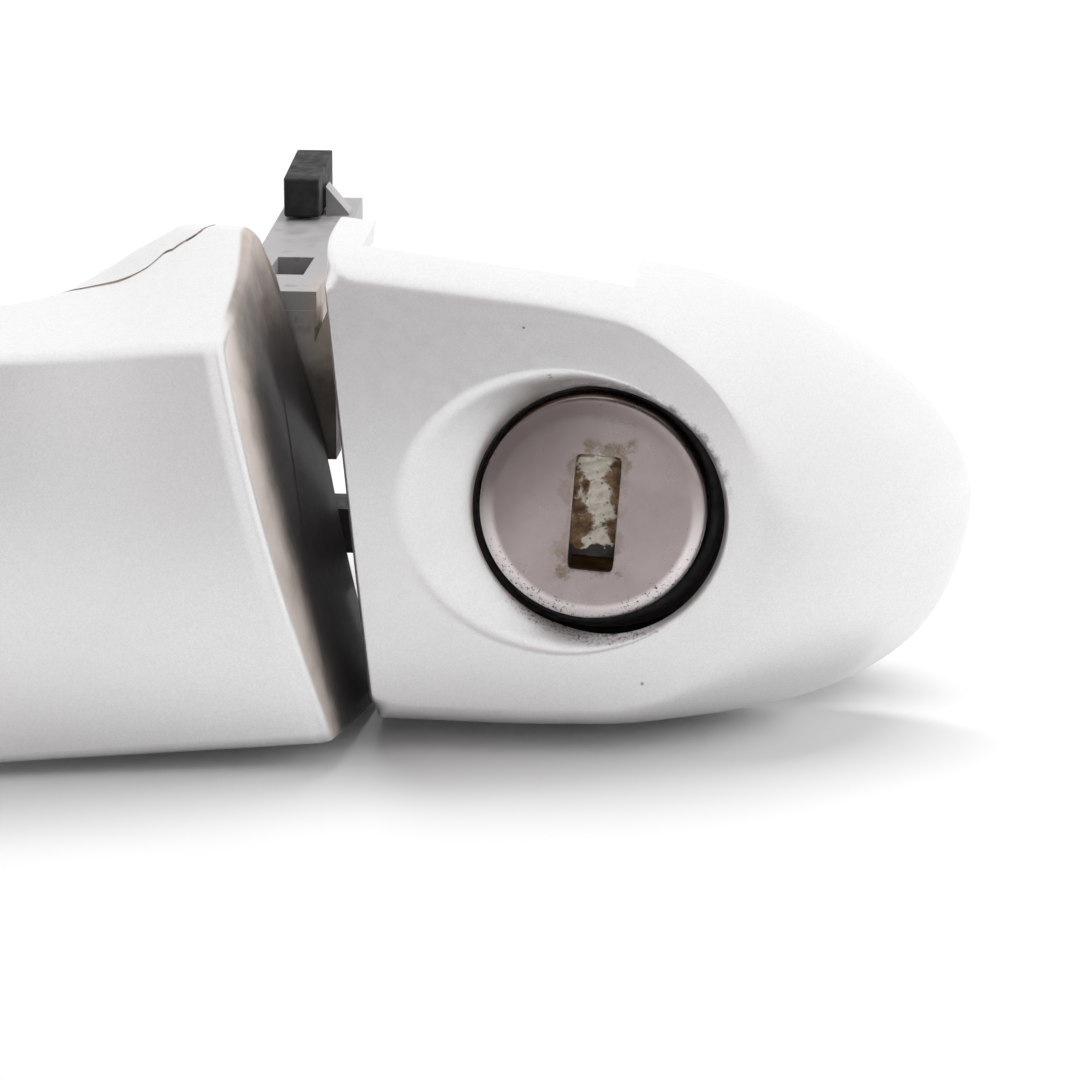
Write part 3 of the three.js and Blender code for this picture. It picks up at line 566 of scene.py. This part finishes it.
ROUND = {"crease": 2.8, "bottom": 3.2, "parting": 2.5}  # radii along the grip's edges
TIP = -203  # station of the front end
TIP_LENGTH = 1.6  # of the rounded front end
END = -28.6  # nominal station of the rear end
END_EDGE = 0.9  # radius round the end face
LEANS_FROM = -53  # from here on the sections lean over towards the slanted end
SEAM = 0.26  # half width of the parting line
DIRT = (0.45, 0.07, 0.15)  # half width, depth and thickness of the dirt in it
SHELL = (0.6, 0.09)  # wall and edge radius of the grip's shells


def end_x(y, z):
    """Where the slanted rear end lies at a given depth and height."""
    front = END - 0.248 * z + 0.0015 * z * z
    back = -26 - 0.235 * z - 0.35 * max(0, z - 19.5) + 0.6 * math.exp(-(((z - 3) / 8) ** 2))
    return lerp(front, back, min(max((y + 24) / 22.5, -0.2), 1))


def rounded(before, corner, after, radius, steps):
    """Points on an arc that touches both edges of a corner."""
    a, b = (before - corner).normalized(), (after - corner).normalized()
    half = math.acos(min(max(a.dot(b), -1), 1)) / 2
    reach = min(radius / math.tan(half), 0.48 * min((corner - before).length, (corner - after).length))
    r = reach * math.tan(half)
    centre = corner + (a + b).normalized() * (r / math.sin(half))
    start = corner + a * reach - centre
    turn = math.copysign(1, start.cross(corner + b * reach - centre))
    sweep = turn * (math.pi - 2 * half)
    points = []
    for i in range(steps):
        angle = sweep * i / (steps - 1)
        c, s = math.cos(angle), math.sin(angle)
        points.append(centre + Vector((start.x * c - start.y * s, start.x * s + start.y * c)))
    return points


def between(a, b, steps):
    """Points on the straight line from a to b, without its ends."""
    return [a.lerp(b, (i + 1) / (steps + 1)) for i in range(steps)]


def grip_section(x):
    """One section of the grip, as points in the YZ plane."""
    at = {key: curve(x) for key, curve in CURVE.items()}
    crease = Vector((at["front"], at["crease"]))
    front_bottom = Vector((at["front"] + 0.8, at["bottom"]))
    back_bottom = Vector((at["back"], at["back_bottom"]))
    back_top = Vector((at["back"], at["back_top"]))
    seam = min(max(at["parting"], at["front"] + 1), at["back"] - 3.0)
    part_top = Vector((seam, at["part_top"]))
    face = []
    for i in range(1, FACE_STEPS):
        t = i / FACE_STEPS
        face.append(crease.lerp(front_bottom, t) + Vector((-CROWN * 4 * t * (1 - t), 0)))
    arcs = [
        rounded(part_top, crease, face[1], ROUND["crease"], 9),
        rounded(face[-2], front_bottom, back_bottom, ROUND["bottom"], 11),
        rounded(front_bottom, back_bottom, back_top, at["back_round"], 9),
        rounded(back_bottom, back_top, part_top, at["back_round"], 9),
        rounded(back_top, part_top, crease, ROUND["parting"], 5),
    ]
    middle = [p for p in face if arcs[0][-1].y - 0.6 > p.y > arcs[1][0].y + 0.6]
    middle = [along_points(middle, i / 21) for i in range(22)]
    return (
        arcs[0] + middle + arcs[1] + between(arcs[1][-1], arcs[2][0], 12) + arcs[2]
        + between(arcs[2][-1], arcs[3][0], 12) + arcs[3] + between(arcs[3][-1], arcs[4][0], 6)
        + arcs[4] + between(arcs[4][-1], arcs[0][0], 12)
    )


def along_points(points, t):
    """The point at a share t of the way along a list of points."""
    at = t * (len(points) - 1)
    i = min(int(at), len(points) - 2)
    return points[i].lerp(points[i + 1], at - i)


def inset(ring, distance):
    """A ring of 2D points moved inwards."""
    n = len(ring)
    moved = []
    for i, p in enumerate(ring):
        along = (ring[(i + 1) % n] - ring[i - 1]).normalized()
        moved.append(p + Vector((-along.y, along.x)) * distance)
    return moved


def grip_ring(x, back_off=0.0, inwards=0.0):
    """A section placed in space. Towards the rear end the sections lean over to lie in its plane."""
    section = grip_section(x)
    if inwards:
        section = inset(section, inwards)
    share = smoothstep(x, LEANS_FROM, END)
    return [Vector((x + share * (end_x(p.x, p.y) - END) - back_off, p.x, p.y)) for p in section]


def grip_surface():
    """The closed outside of the grip: a rounded tip, the sections, and the edge of the end face."""
    xs = [TIP + 0.7 * i for i in range(16)] + [-191 + 2.0 * i for i in range(69)]
    xs += [-52 + 0.55 * i for i in range(42)]
    rings = [grip_ring(x) for x in xs if x < END - END_EDGE - 0.1]
    nose = grip_section(TIP)
    centre = sum(nose, Vector((0, 0))) / len(nose)
    tip = []
    for angle in (75, 60, 45, 30, 15):
        a = math.radians(angle)
        x = TIP - TIP_LENGTH * math.sin(a)
        tip.append([Vector((x, *(centre + (p - centre) * math.cos(a)))) for p in nose])
    for i in range(6):
        a = math.radians(90 * i / 5)
        rings.append(grip_ring(END, END_EDGE * (1 - math.sin(a)), END_EDGE * (1 - math.cos(a))))
    return loft(tip + rings)


def make_seam(bm, beyond):
    """The packed dirt that fills the parting line, a little under the surface."""
    reach, depth, thickness = DIRT
    bm.normal_update()
    for vert, outwards in [(v, v.normal.copy()) for v in bm.verts]:
        vert.co -= outwards * depth
    keep_where(bm, lambda p: abs(beyond(p)) < reach)
    net = Net("seam_dirt")
    tone = net.ramp(net.noise(500, 5, 0.7), (0.3, (0.26, 0.19, 0.14)), (0.7, (0.52, 0.42, 0.33)))
    net.set(Base_Color=tone, Roughness=0.9)
    net.bump(net.noise(1800, 4), 0.05, 0.5)
    seam = new_object("grip_seam", bm, "grip", None, net.material, 60)
    add_modifier(seam, "SOLIDIFY", thickness=thickness * MM, offset=-1)


def make_grip():
    paint = silver_paint(
        "silver_paint_grip",
        marks=[(-49, -30, 5.5, 0.35), (-44.5, -29.5, 8.0, 0.3), (-31.5, -27, -17, 0.6),
               (-33, -27, -11, 0.4)],
        grime=end_dirt_and_painted_shade,
    )

    def beyond(offset):
        """How far behind the parting line a point lies, less an offset."""

        def g(p):
            # the parting line leaves the back of the grip where its curve ends
            return p.y - CURVE["parting"](min(p.x, SEAM_END)) - 6 * max(0, p.x - SEAM_END) - offset

        return g

    whole = grip_surface()
    make_seam(whole.copy(), beyond(0))
    for offset in (-SEAM, SEAM):
        cut_along(whole, beyond(offset))
    inner = whole.copy()
    keep_where(whole, lambda p: beyond(-SEAM)(p) < 0)
    keep_where(inner, lambda p: beyond(SEAM)(p) > 0)
    outer = new_object("grip_outer", whole, "grip", "grip_outer_shell", paint, 50)
    inner = new_object("grip_inner", inner, "grip", "grip_inner_shell", paint, 50)
    for obj in (outer, inner):
        thicken(obj, *SHELL)


# ---- lock cover --------------------------------------------------------------------------------

COVER_REAR = 1.1  # height of the cover's rim over the door
COVER_FRONT = 18.0  # height of its pad at the lock axis
COVER_WALL = (2.0, 0.22)  # its wall and edge radius
# its two D-shaped edges: the rim at the door, and the edge of the flat pad round the lock
RIM = {"top": 20.29, "bottom": 21.7, "nose": 34.3, "side": 22.6, "taper": 0.05, "soft": 0.9}
PAD = {"top": 16.9, "bottom": 18.2, "nose": 15.0, "side": 21.7, "taper": 0.045, "soft": 0.7}
RIM_POWER = (2.45, 1.85)  # how full the D is at its lower and its upper corner
PAD_POWER = (2.4, 1.9)
SCOOP = (15.1, 13.4)  # half width and half height of the scoop round the lock
SCOOP_AT = (-3.0, -0.25)
SCOOP_FLOOR = (16.6, 15.0)  # height of the edge of the hole where the scoop is narrow, and where wide
SCOOP_LIP = 1.6  # width over which the scoop's wall rolls over from the pad
CREASE = (0.25, 0.8)  # depth as a share of the reach, and the most it reaches
CREASE_GROWTH = 0.25  # gap under the crease for each millimetre inwards from the pad's edge
NOTCH = (-22.9, 1.8, 11.5)  # from, to, and how far forward it reaches
NOTCH_ABOVE = 12  # it cuts only what is higher than this
SLANT = 0.175  # of the cover's left side
SHOULDER_STEPS = 28  # from the rim to the pad's edge
PAD_STEPS = 4  # from the pad's edge to the lip of the scoop
SCOOP_STEPS = 20  # from that lip to the hole


def d_shape(angle, top, bottom, nose, side, taper, soft, power):
    """Distance from the lock axis to a D-shaped edge."""
    c, s = math.cos(angle), math.sin(angle)
    height = top if s > 0 else bottom
    facing = -c - SLANT * s
    left = side / facing if facing > 1e-3 else 1e3
    if c > 0:
        round_edge = ((c / nose) ** power + (abs(s) / height) ** power) ** (-1 / power)
        return smooth_min(round_edge, left, soft)
    return smooth_min(height / max(abs(s) + taper * c, 1e-3), left, soft)


def upper(angle):
    """0 below the nose of the dome, 1 above it."""
    return smoothstep(math.sin(angle), -0.4, 0.25)


def rim_radius(angle):
    return d_shape(angle, power=lerp(*RIM_POWER, upper(angle)), **RIM)


def pad_radius(angle):
    return d_shape(angle, power=lerp(*PAD_POWER, upper(angle)), **PAD)


def centred(angle, centre, half_width, half_height):
    """Distance from the lock axis to an ellipse round another centre."""
    c, s = math.cos(angle) / half_width, math.sin(angle) / half_height
    u, v = centre[0] / half_width, centre[1] / half_height
    a, b = c * c + s * s, c * u + s * v
    return (b + math.sqrt(b * b - a * (u * u + v * v - 1))) / a


def hole_radius(angle):
    return centred(angle, HOLE_AT, HOLE_R, HOLE_R)


def scoop_radius(angle):
    """Distance to the lip of the scoop, which always leaves some wall round the hole."""
    return max(centred(angle, SCOOP_AT, *SCOOP), hole_radius(angle) + 0.5)


def pad_height(u, v):
    """The pad falls a little towards the nose, and towards its upper and lower edge."""
    return COVER_FRONT - 0.03 * u - 0.0019 * v * v


def leftness(angle):
    """0 on the side of the nose, 1 on the side of the grip."""
    return smoothstep(-math.cos(angle), -0.5, 0.35)


def shoulder(angle, step):
    """How boxy the shoulder is: creased where it leaves the pad above the nose, crisp at the left."""
    return lerp(lerp(1.9, lerp(2.05, 1.14, upper(angle)), step), 3.4, leftness(angle))


def crease_drop(angle, gap):
    """How far the soft crease between pad and dome lies under the meeting of the two."""
    depth, most = CREASE
    reach = most * (1 - leftness(angle)) * upper(angle)
    return depth * reach * max(0.0, 1 - gap / reach) ** 2 if reach > 1e-3 else 0.0


def cover_angles():
    """Even steps all round, and finer ones at the four corners on the left side."""
    corners = [144.1, 226.0, 140.6, 230.5]
    angles = [math.radians(360 * i / 260) for i in range(260)]
    for corner in corners:
        angles += [math.radians(corner + 0.35 * k) for k in (-3, -2, -1, 0, 1, 2, 3)]
    return sorted(set(round(a, 5) for a in angles))


def shoulder_point(angle, step):
    """A point of the dome between the rim at the door (step 0) and the pad's edge (step 1)."""
    power = 2 / shoulder(angle, step)
    q = math.cos(step * math.pi / 2) ** power if step < 1 else 0
    h = math.sin(step * math.pi / 2) ** power
    pad, rim = pad_radius(angle), rim_radius(angle)
    r = lerp(pad, rim, q)
    top = pad_height(pad * math.cos(angle), pad * math.sin(angle))
    height = lerp(COVER_REAR, top, h)
    height -= crease_drop(angle, top - height)
    return Vector((r * math.cos(angle), -height, r * math.sin(angle)))


def lip_radius(angle):
    return min(scoop_radius(angle), pad_radius(angle) - 0.6)


def pad_point(angle, step):
    """A point of the flat pad between its edge (step 0) and the lip of the scoop (step 1)."""
    direction = Vector((math.cos(angle), math.sin(angle)))
    p = (direction * pad_radius(angle)).lerp(direction * lip_radius(angle), step)
    drop = crease_drop(angle, CREASE_GROWTH * (pad_radius(angle) - p.length))
    return Vector((p.x, -pad_height(p.x, p.y) + drop, p.y))


def scoop_point(angle, step):
    """A point of the scoop between its lip (step 0) and the edge of the hole (step 1)."""
    direction = Vector((math.cos(angle), math.sin(angle)))
    edge = lip_radius(angle)
    lip = direction * edge
    wide = edge - hole_radius(angle)
    p = lip.lerp(direction * hole_radius(angle), step)
    roll = min(max(SCOOP_LIP / wide, 0.2), 0.6)  # share of the wall that rolls over from the pad
    drop = step * step / (2 * roll) if step < roll else step - roll / 2
    floor = lerp(*SCOOP_FLOOR, smoothstep(wide, 0.5, 2.4))
    start = pad_height(lip.x, lip.y) - crease_drop(angle, CREASE_GROWTH * (pad_radius(angle) - edge))
    height = lerp(start, floor, drop / (1 - roll / 2))
    return Vector((p.x, -height, p.y))


def cover_rings():
    angles = cover_angles()
    rings = []
    for k in range(SHOULDER_STEPS + 1):
        rings.append([shoulder_point(angle, k / SHOULDER_STEPS) for angle in angles])
    for k in range(1, PAD_STEPS + 1):
        rings.append([pad_point(angle, k / PAD_STEPS) for angle in angles])
    for k in range(1, SCOOP_STEPS + 1):
        rings.append([scoop_point(angle, k / SCOOP_STEPS) for angle in angles])
    return rings


def make_cover():
    bm = loft(cover_rings(), caps=False)
    start, stop, depth = NOTCH
    for distance in (lambda p: p.x - start, lambda p: stop - p.x, lambda p: p.y + depth):
        cut_along(bm, lambda p: distance(p) if p.z > NOTCH_ABOVE else 1)
    keep_where(bm, lambda p: not (start < p.x < stop and p.z > NOTCH_ABOVE and p.y > -depth))
    bmesh.ops.transform(bm, matrix=LEAN, verts=bm.verts)
    paint = silver_paint(
        "silver_paint_cover",
        marks=[(-3.4, -17.4, 15.2, 0.35), (-2.4, -17.4, 14.3, 0.45), (-3.8, -17.4, 12.6, 0.4),
               (4.5, -17.2, -15.2, 0.3), (4.6, -17.2, -15.9, 0.3), (16.4, -15.6, -0.6, 0.5),
               (13.1, -16.9, -9.2, 0.3), (9.6, -17, 5.6, 0.2)],
        grime=hole_grime,
    )
    cover = new_object("cover_shell", bm, "carrier", "lock_cover", paint, 45)
    thicken(cover, *COVER_WALL)


# ---- key cylinder ------------------------------------------------------------------------------

SHEET = 0.55  # of the cap
CAP_INNER, CAP_OUTER = 0.3, 8.8  # the cap's flat, from outside the slot to where its edge begins
CAP_EDGE = (  # radius, and depth behind the face
    (8.95, 0.015), (9.1, 0.04), (9.3, 0.09), (9.6, 0.19), (9.85, 0.29), (10.03, 0.38), (10.15, 0.48),
    (10.24, 0.62), (10.29, 0.8), (FACE_R, 1.0), (FACE_R, 2.0), (FACE_R, 3.8), (FACE_R - SHEET, 3.8),
    (FACE_R - SHEET, 1.2), (8.6, SHEET),
)
SLOT_EDGE = ((0, SHEET), (0, 0.12), (0.04, 0.03), (0.12, 0))  # growth of the slot, depth behind the face
FLAP = (-1.95, 2.5, -4.6, 5.3)  # left, right, bottom and top of the flap
FLAP_Y = -15.2
ROLL_AT = (-2.1, -15)  # the flap's rolled edge
ROLL_R = 0.44
SEAL_PROFILE = (  # share of the way from the cap to the cover, and depth
    (0.0, -12.4), (0.0, -13.5), (0.08, -13.85), (0.3, -14.0), (0.65, -13.95), (0.88, -13.7),
    (0.97, -13.3), (1.0, -12.9), (1.0, -12.4),
)
SEAL_R = (FACE_R + 0.16, HOLE_R - 0.12)


def slot_radius(angle, width, height):
    """Distance from the slot's middle to its outline, a rectangle with rounded corners."""
    c, s = abs(math.cos(angle)), abs(math.sin(angle))
    return 1 / ((c / (width / 2)) ** 14 + (s / (height / 2)) ** 14) ** (1 / 14)


def make_plug_face():
    """The cap with its slot, as one loft: up through the slot, over the face and down its edge."""
    angles = circle_angles(240)

    def slot_ring(grow, y):
        ring = []
        for a in angles:
            r = slot_radius(a, SLOT[0] + 2 * grow, SLOT[1] + 2 * grow)
            ring.append(Vector((r * math.cos(a) + SLOT_AT[0], y, r * math.sin(a) + SLOT_AT[1])))
        return ring

    def circle(r, y):
        return [Vector((r * math.cos(a), y, r * math.sin(a))) for a in angles]

    rings = [slot_ring(grow, LOCK_FACE + depth) for grow, depth in SLOT_EDGE]
    inner = slot_ring(CAP_INNER, LOCK_FACE)
    outer = circle(CAP_OUTER, LOCK_FACE)
    for t in (0, 0.15, 0.35, 0.6, 0.85, 1.0):
        rings.append([a.lerp(b, t) for a, b in zip(inner, outer)])
    for r, depth in CAP_EDGE:
        rings.append(circle(r, LOCK_FACE + depth))
    bm = loft(rings, loop=True)
    bmesh.ops.transform(bm, matrix=LEAN, verts=bm.verts)
    new_object("plug_cap", bm, "plug", "plug_face", stainless(), 40)


def make_flap():
    """A pressed plate with a rolled hinge edge, a little shorter than the slot."""
    bm = bmesh.new()
    left, right, bottom, top = FLAP
    columns, rows = 22, 48
    grid = []
    for j in range(rows + 1):
        v = lerp(bottom, top, j / rows)
        line = []
        for i in range(columns + 1):
            u = lerp(left, right, i / columns)
            dent = 0.10 * math.sin(3.1 * v + 1.7 * u) * math.sin(2.3 * u + 0.6)
            dent += 0.06 * math.sin(5.9 * v - 2.2 * u)
            line.append(bm.verts.new((u, FLAP_Y + dent, v)))
        grid.append(line)
    for j in range(rows):
        for i in range(columns):
            bm.faces.new((grid[j][i], grid[j][i + 1], grid[j + 1][i + 1], grid[j + 1][i]))
    bmesh.ops.recalc_face_normals(bm, faces=bm.faces)
    bmesh.ops.transform(bm, matrix=LEAN, verts=bm.verts)
    flap = new_object("slot_flap", bm, "shutter", None, flap_metal("flap"), 60)
    add_modifier(flap, "SOLIDIFY", thickness=0.35 * MM, offset=0)
    round_edges(flap, 0.1)
    rings = []
    for z in (-5.6, -4.5, 0, 4.5, 5.6):
        ring = []
        for a in circle_angles(20):
            ring.append(Vector((ROLL_AT[0] + ROLL_R * math.cos(a), ROLL_AT[1] + ROLL_R * math.sin(a), z)))
        rings.append(ring)
    roll = loft(rings)
    bmesh.ops.transform(roll, matrix=LEAN, verts=roll.verts)
    metal = flap_metal("flap_roll")
    hinge = new_object("slot_flap_roll", roll, "shutter", "shutter_flap", metal, 50)
    round_edges(hinge, 0.1)


def make_seal():
    """The black ring between the cylinder's face and the cover's hole, thicker on one side."""
    rings = []
    for share, y in SEAL_PROFILE:
        ring = []
        for a in circle_angles(200):
            direction = Vector((math.cos(a), math.sin(a)))
            inner = direction * SEAL_R[0]
            outer = direction * SEAL_R[1] + Vector(HOLE_AT)
            p = inner.lerp(outer, share)
            ring.append(Vector((p.x, y + 0.05 * math.sin(9 * a) * share, p.y)))
        rings.append(ring)
    bm = loft(rings, loop=True)
    bmesh.ops.transform(bm, matrix=LEAN, verts=bm.verts)
    new_object("seal_ring", bm, "carrier", "lock_seal", rubber("rubber"), 50)


# ---- carried-over pieces -----------------------------------------------------------------------


def dress(node, material, edge):
    """A CAD piece keeps its shape: it gets a material, rounded edges and smooth shading."""
    obj = NODES[node]
    mesh = obj.data
    if "custom_normal" in mesh.attributes:
        mesh.attributes.remove(mesh.attributes["custom_normal"])
    mesh.materials.clear()
    mesh.materials.append(material)
    mesh.polygons.foreach_set("use_smooth", [True] * len(mesh.polygons))
    add_modifier(obj, "WELD", merge_threshold=0.004 * MM)
    if edge:
        round_edges(obj, edge, angle=38)
    add_modifier(obj, "WEIGHTED_NORMAL", keep_sharp=True)


def dress_all():
    """Dresses every CAD piece that is not modelled again: a material and an edge radius for each."""
    cast = zinc()
    bright = steel()
    soft = rubber("gasket_rubber")
    black = plastic("black_nylon", (0.010, 0.010, 0.011), (0.03, 0.03, 0.031))
    grey = plastic("grey_nylon", (0.08, 0.078, 0.08), (0.16, 0.155, 0.16))
    yellow = brass()
    groups = (
        (cast, 0.4, ["pull_arm", "hinge_hook", "bellcrank_lever", "lock_housing"]),
        (bright, 0.2, ["shell_screw_front", "shell_screw_rear", "arm_cross_pin", "counterweight",
                       "lever_pin", "hinge_pin", "clamp_screw", "clamp_nut", "tail_paddle"]),
        (bright, 0.1, ["circlip"]),
        (bright, 0, ["return_spring"]),
        (soft, 0.3, ["arm_bumper"]),
        (soft, 0.2, ["cover_gasket", "front_gasket", "foot_gasket"]),
        (black, 0.35, ["carrier_frame"]),
        (grey, 0.3, ["arm_guide"]),
        (yellow, 0.15, ["lock_plug"] + [f"wafer_{i}" for i in range(1, 6)]),
    )
    for material, edge, nodes in groups:
        for node in nodes:
            dress(node, material, edge)


# ---- stage -------------------------------------------------------------------------------------

FLOOR_GAP = 0.2  # the carrier's hardware holds the outer pieces a little off the floor
FLOOR_HALF = 4000
CARD = (500, 450)  # half width and half depth of the dark card
CARD_X, CARD_Z = -485, -18  # its middle and its height
CARD_FROM = -125  # its near edge
DARK_SIDE = (-0.36, -0.93, 0.0)  # in front, a little to the left
DARK_TINT = (1, 0.93, 0.945, 1)  # colour of the light from there
WORLD = (1.14, 0.58)  # strength all round, and in front
FILL = 0.34  # share of it that matt surfaces get: the overhead light does the rest
TARGET = Vector((-4.6565, -17.5558, -2.5645)) * MM
AZIMUTH, ELEVATION, DISTANCE = math.radians(4.5), math.radians(15), 0.4
# name, place, what it points at, size and power
LIGHTS = (
    ("overhead", (0.12, 0.42, 1.25), (-0.03, 0.0, 0.0), (1.2, 0.45), 12.5),
    ("side", (1.0, 0.22, 0.45), (0.02, 0.0, 0.0), (0.6, 0.4), 6.5),
)


def make_floor():
    low = min(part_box(node)[0].z for node in ("grip_outer_shell", "lock_cover"))
    bm = bmesh.new()
    bmesh.ops.create_grid(bm, x_segments=4, y_segments=4, size=FLOOR_HALF)
    bmesh.ops.translate(bm, vec=(0, 0, low / MM - FLOOR_GAP), verts=bm.verts)
    net = Net("floor")
    net.set(Base_Color=net.ramp(net.noise(3, 2), (0.3, 0.90), (0.7, 0.915)), Roughness=0.75)
    net.set(Specular_IOR_Level=0.25)
    floor = new_object("floor", bm, None, material=net.material)


def area_light(name, at, target, size, power):
    data = bpy.data.lights.new(name, "AREA")
    data.shape = "RECTANGLE"
    data.size, data.size_y = size
    data.energy = power
    light = bpy.data.objects.new(name, data)
    light.location = at
    light.rotation_euler = (Vector(target) - Vector(at)).to_track_quat("-Z", "Y").to_euler()
    light.visible_glossy = False
    bpy.context.scene.collection.objects.link(light)


def make_world():
    """White all round, but darker in front of the handle. Seen directly it is plain white."""
    world = bpy.data.worlds.new("studio")
    bpy.context.scene.world = world
    world.use_nodes = True
    tree = world.node_tree
    tree.nodes.clear()
    out = tree.nodes.new("ShaderNodeOutputWorld")
    background = tree.nodes.new("ShaderNodeBackground")
    coordinates = tree.nodes.new("ShaderNodeTexCoord")
    towards = tree.nodes.new("ShaderNodeVectorMath")
    towards.operation = "DOT_PRODUCT"
    towards.inputs[1].default_value = DARK_SIDE
    tree.links.new(coordinates.outputs["Generated"], towards.inputs[0])

    def span(socket, lo, hi, a, b):
        node = tree.nodes.new("ShaderNodeMapRange")
        node.interpolation_type = "SMOOTHSTEP"
        tree.links.new(socket, node.inputs["Value"])
        for key, number in (("From Min", lo), ("From Max", hi), ("To Min", a), ("To Max", b)):
            node.inputs[key].default_value = number
        return node.outputs[0]

    def math_node(op, a, b):
        node = tree.nodes.new("ShaderNodeMath")
        node.operation = op
        tree.links.new(a, node.inputs[0])
        tree.links.new(b, node.inputs[1])
        return node.outputs[0]

    front = span(towards.outputs["Value"], 0.42, 0.85, 0.0, 1.0)
    ray = tree.nodes.new("ShaderNodeLightPath").outputs
    fill = span(ray["Is Diffuse Ray"], 0.0, 1.0, 1.0, FILL)
    strength = math_node("MULTIPLY", span(front, 0.0, 1.0, *WORLD), fill)
    tree.links.new(math_node("MAXIMUM", strength, ray["Is Camera Ray"]), background.inputs["Strength"])
    tint = tree.nodes.new("ShaderNodeMix")
    tint.data_type = "RGBA"
    tree.links.new(front, tint.inputs[0])
    tint.inputs[6].default_value = (1, 1, 1, 1)
    tint.inputs[7].default_value = DARK_TINT
    tree.links.new(tint.outputs[2], background.inputs["Color"])
    tree.links.new(background.outputs[0], out.inputs[0])


def make_flag():
    """A dark card flat on the table in front, out of the picture: it shows only in reflections."""
    bm = bmesh.new()
    bmesh.ops.create_grid(bm, x_segments=2, y_segments=2, size=1)
    bmesh.ops.scale(bm, vec=(*CARD, 1), verts=bm.verts)
    bmesh.ops.translate(bm, vec=(CARD_X, CARD_FROM - CARD[1], CARD_Z), verts=bm.verts)
    net = Net("flag")
    net.set(Base_Color=net.ramp(net.noise(8, 2), (0.3, 0.33), (0.7, 0.36)), Roughness=0.9)
    flag = new_object("flag", bm, None, material=net.material)
    flag.visible_camera = False
    flag.visible_diffuse = False
    flag.visible_shadow = False


def make_camera():
    back = Vector((
        math.sin(AZIMUTH) * math.cos(ELEVATION),
        -math.cos(AZIMUTH) * math.cos(ELEVATION),
        math.sin(ELEVATION),
    ))
    data = bpy.data.cameras.new("camera")
    data.sensor_width = 36
    data.lens = 148.15
    data.clip_start, data.clip_end = 0.01, 50
    camera = bpy.data.objects.new("camera", data)
    camera.location = TARGET + back * DISTANCE
    camera.rotation_euler = (-back).to_track_quat("-Z", "Y").to_euler()
    bpy.context.scene.collection.objects.link(camera)
    bpy.context.scene.camera = camera


def make_stage():
    make_floor()
    make_world()
    make_flag()
    for light in LIGHTS:
        area_light(*light)
    view = bpy.context.scene.view_settings
    view.view_transform = "Standard"
    view.look = "None"
    view.exposure = 0.0


make_camera()
make_grip()
make_cover()
make_plug_face()
make_flap()
make_seal()
dress_all()
make_stage()
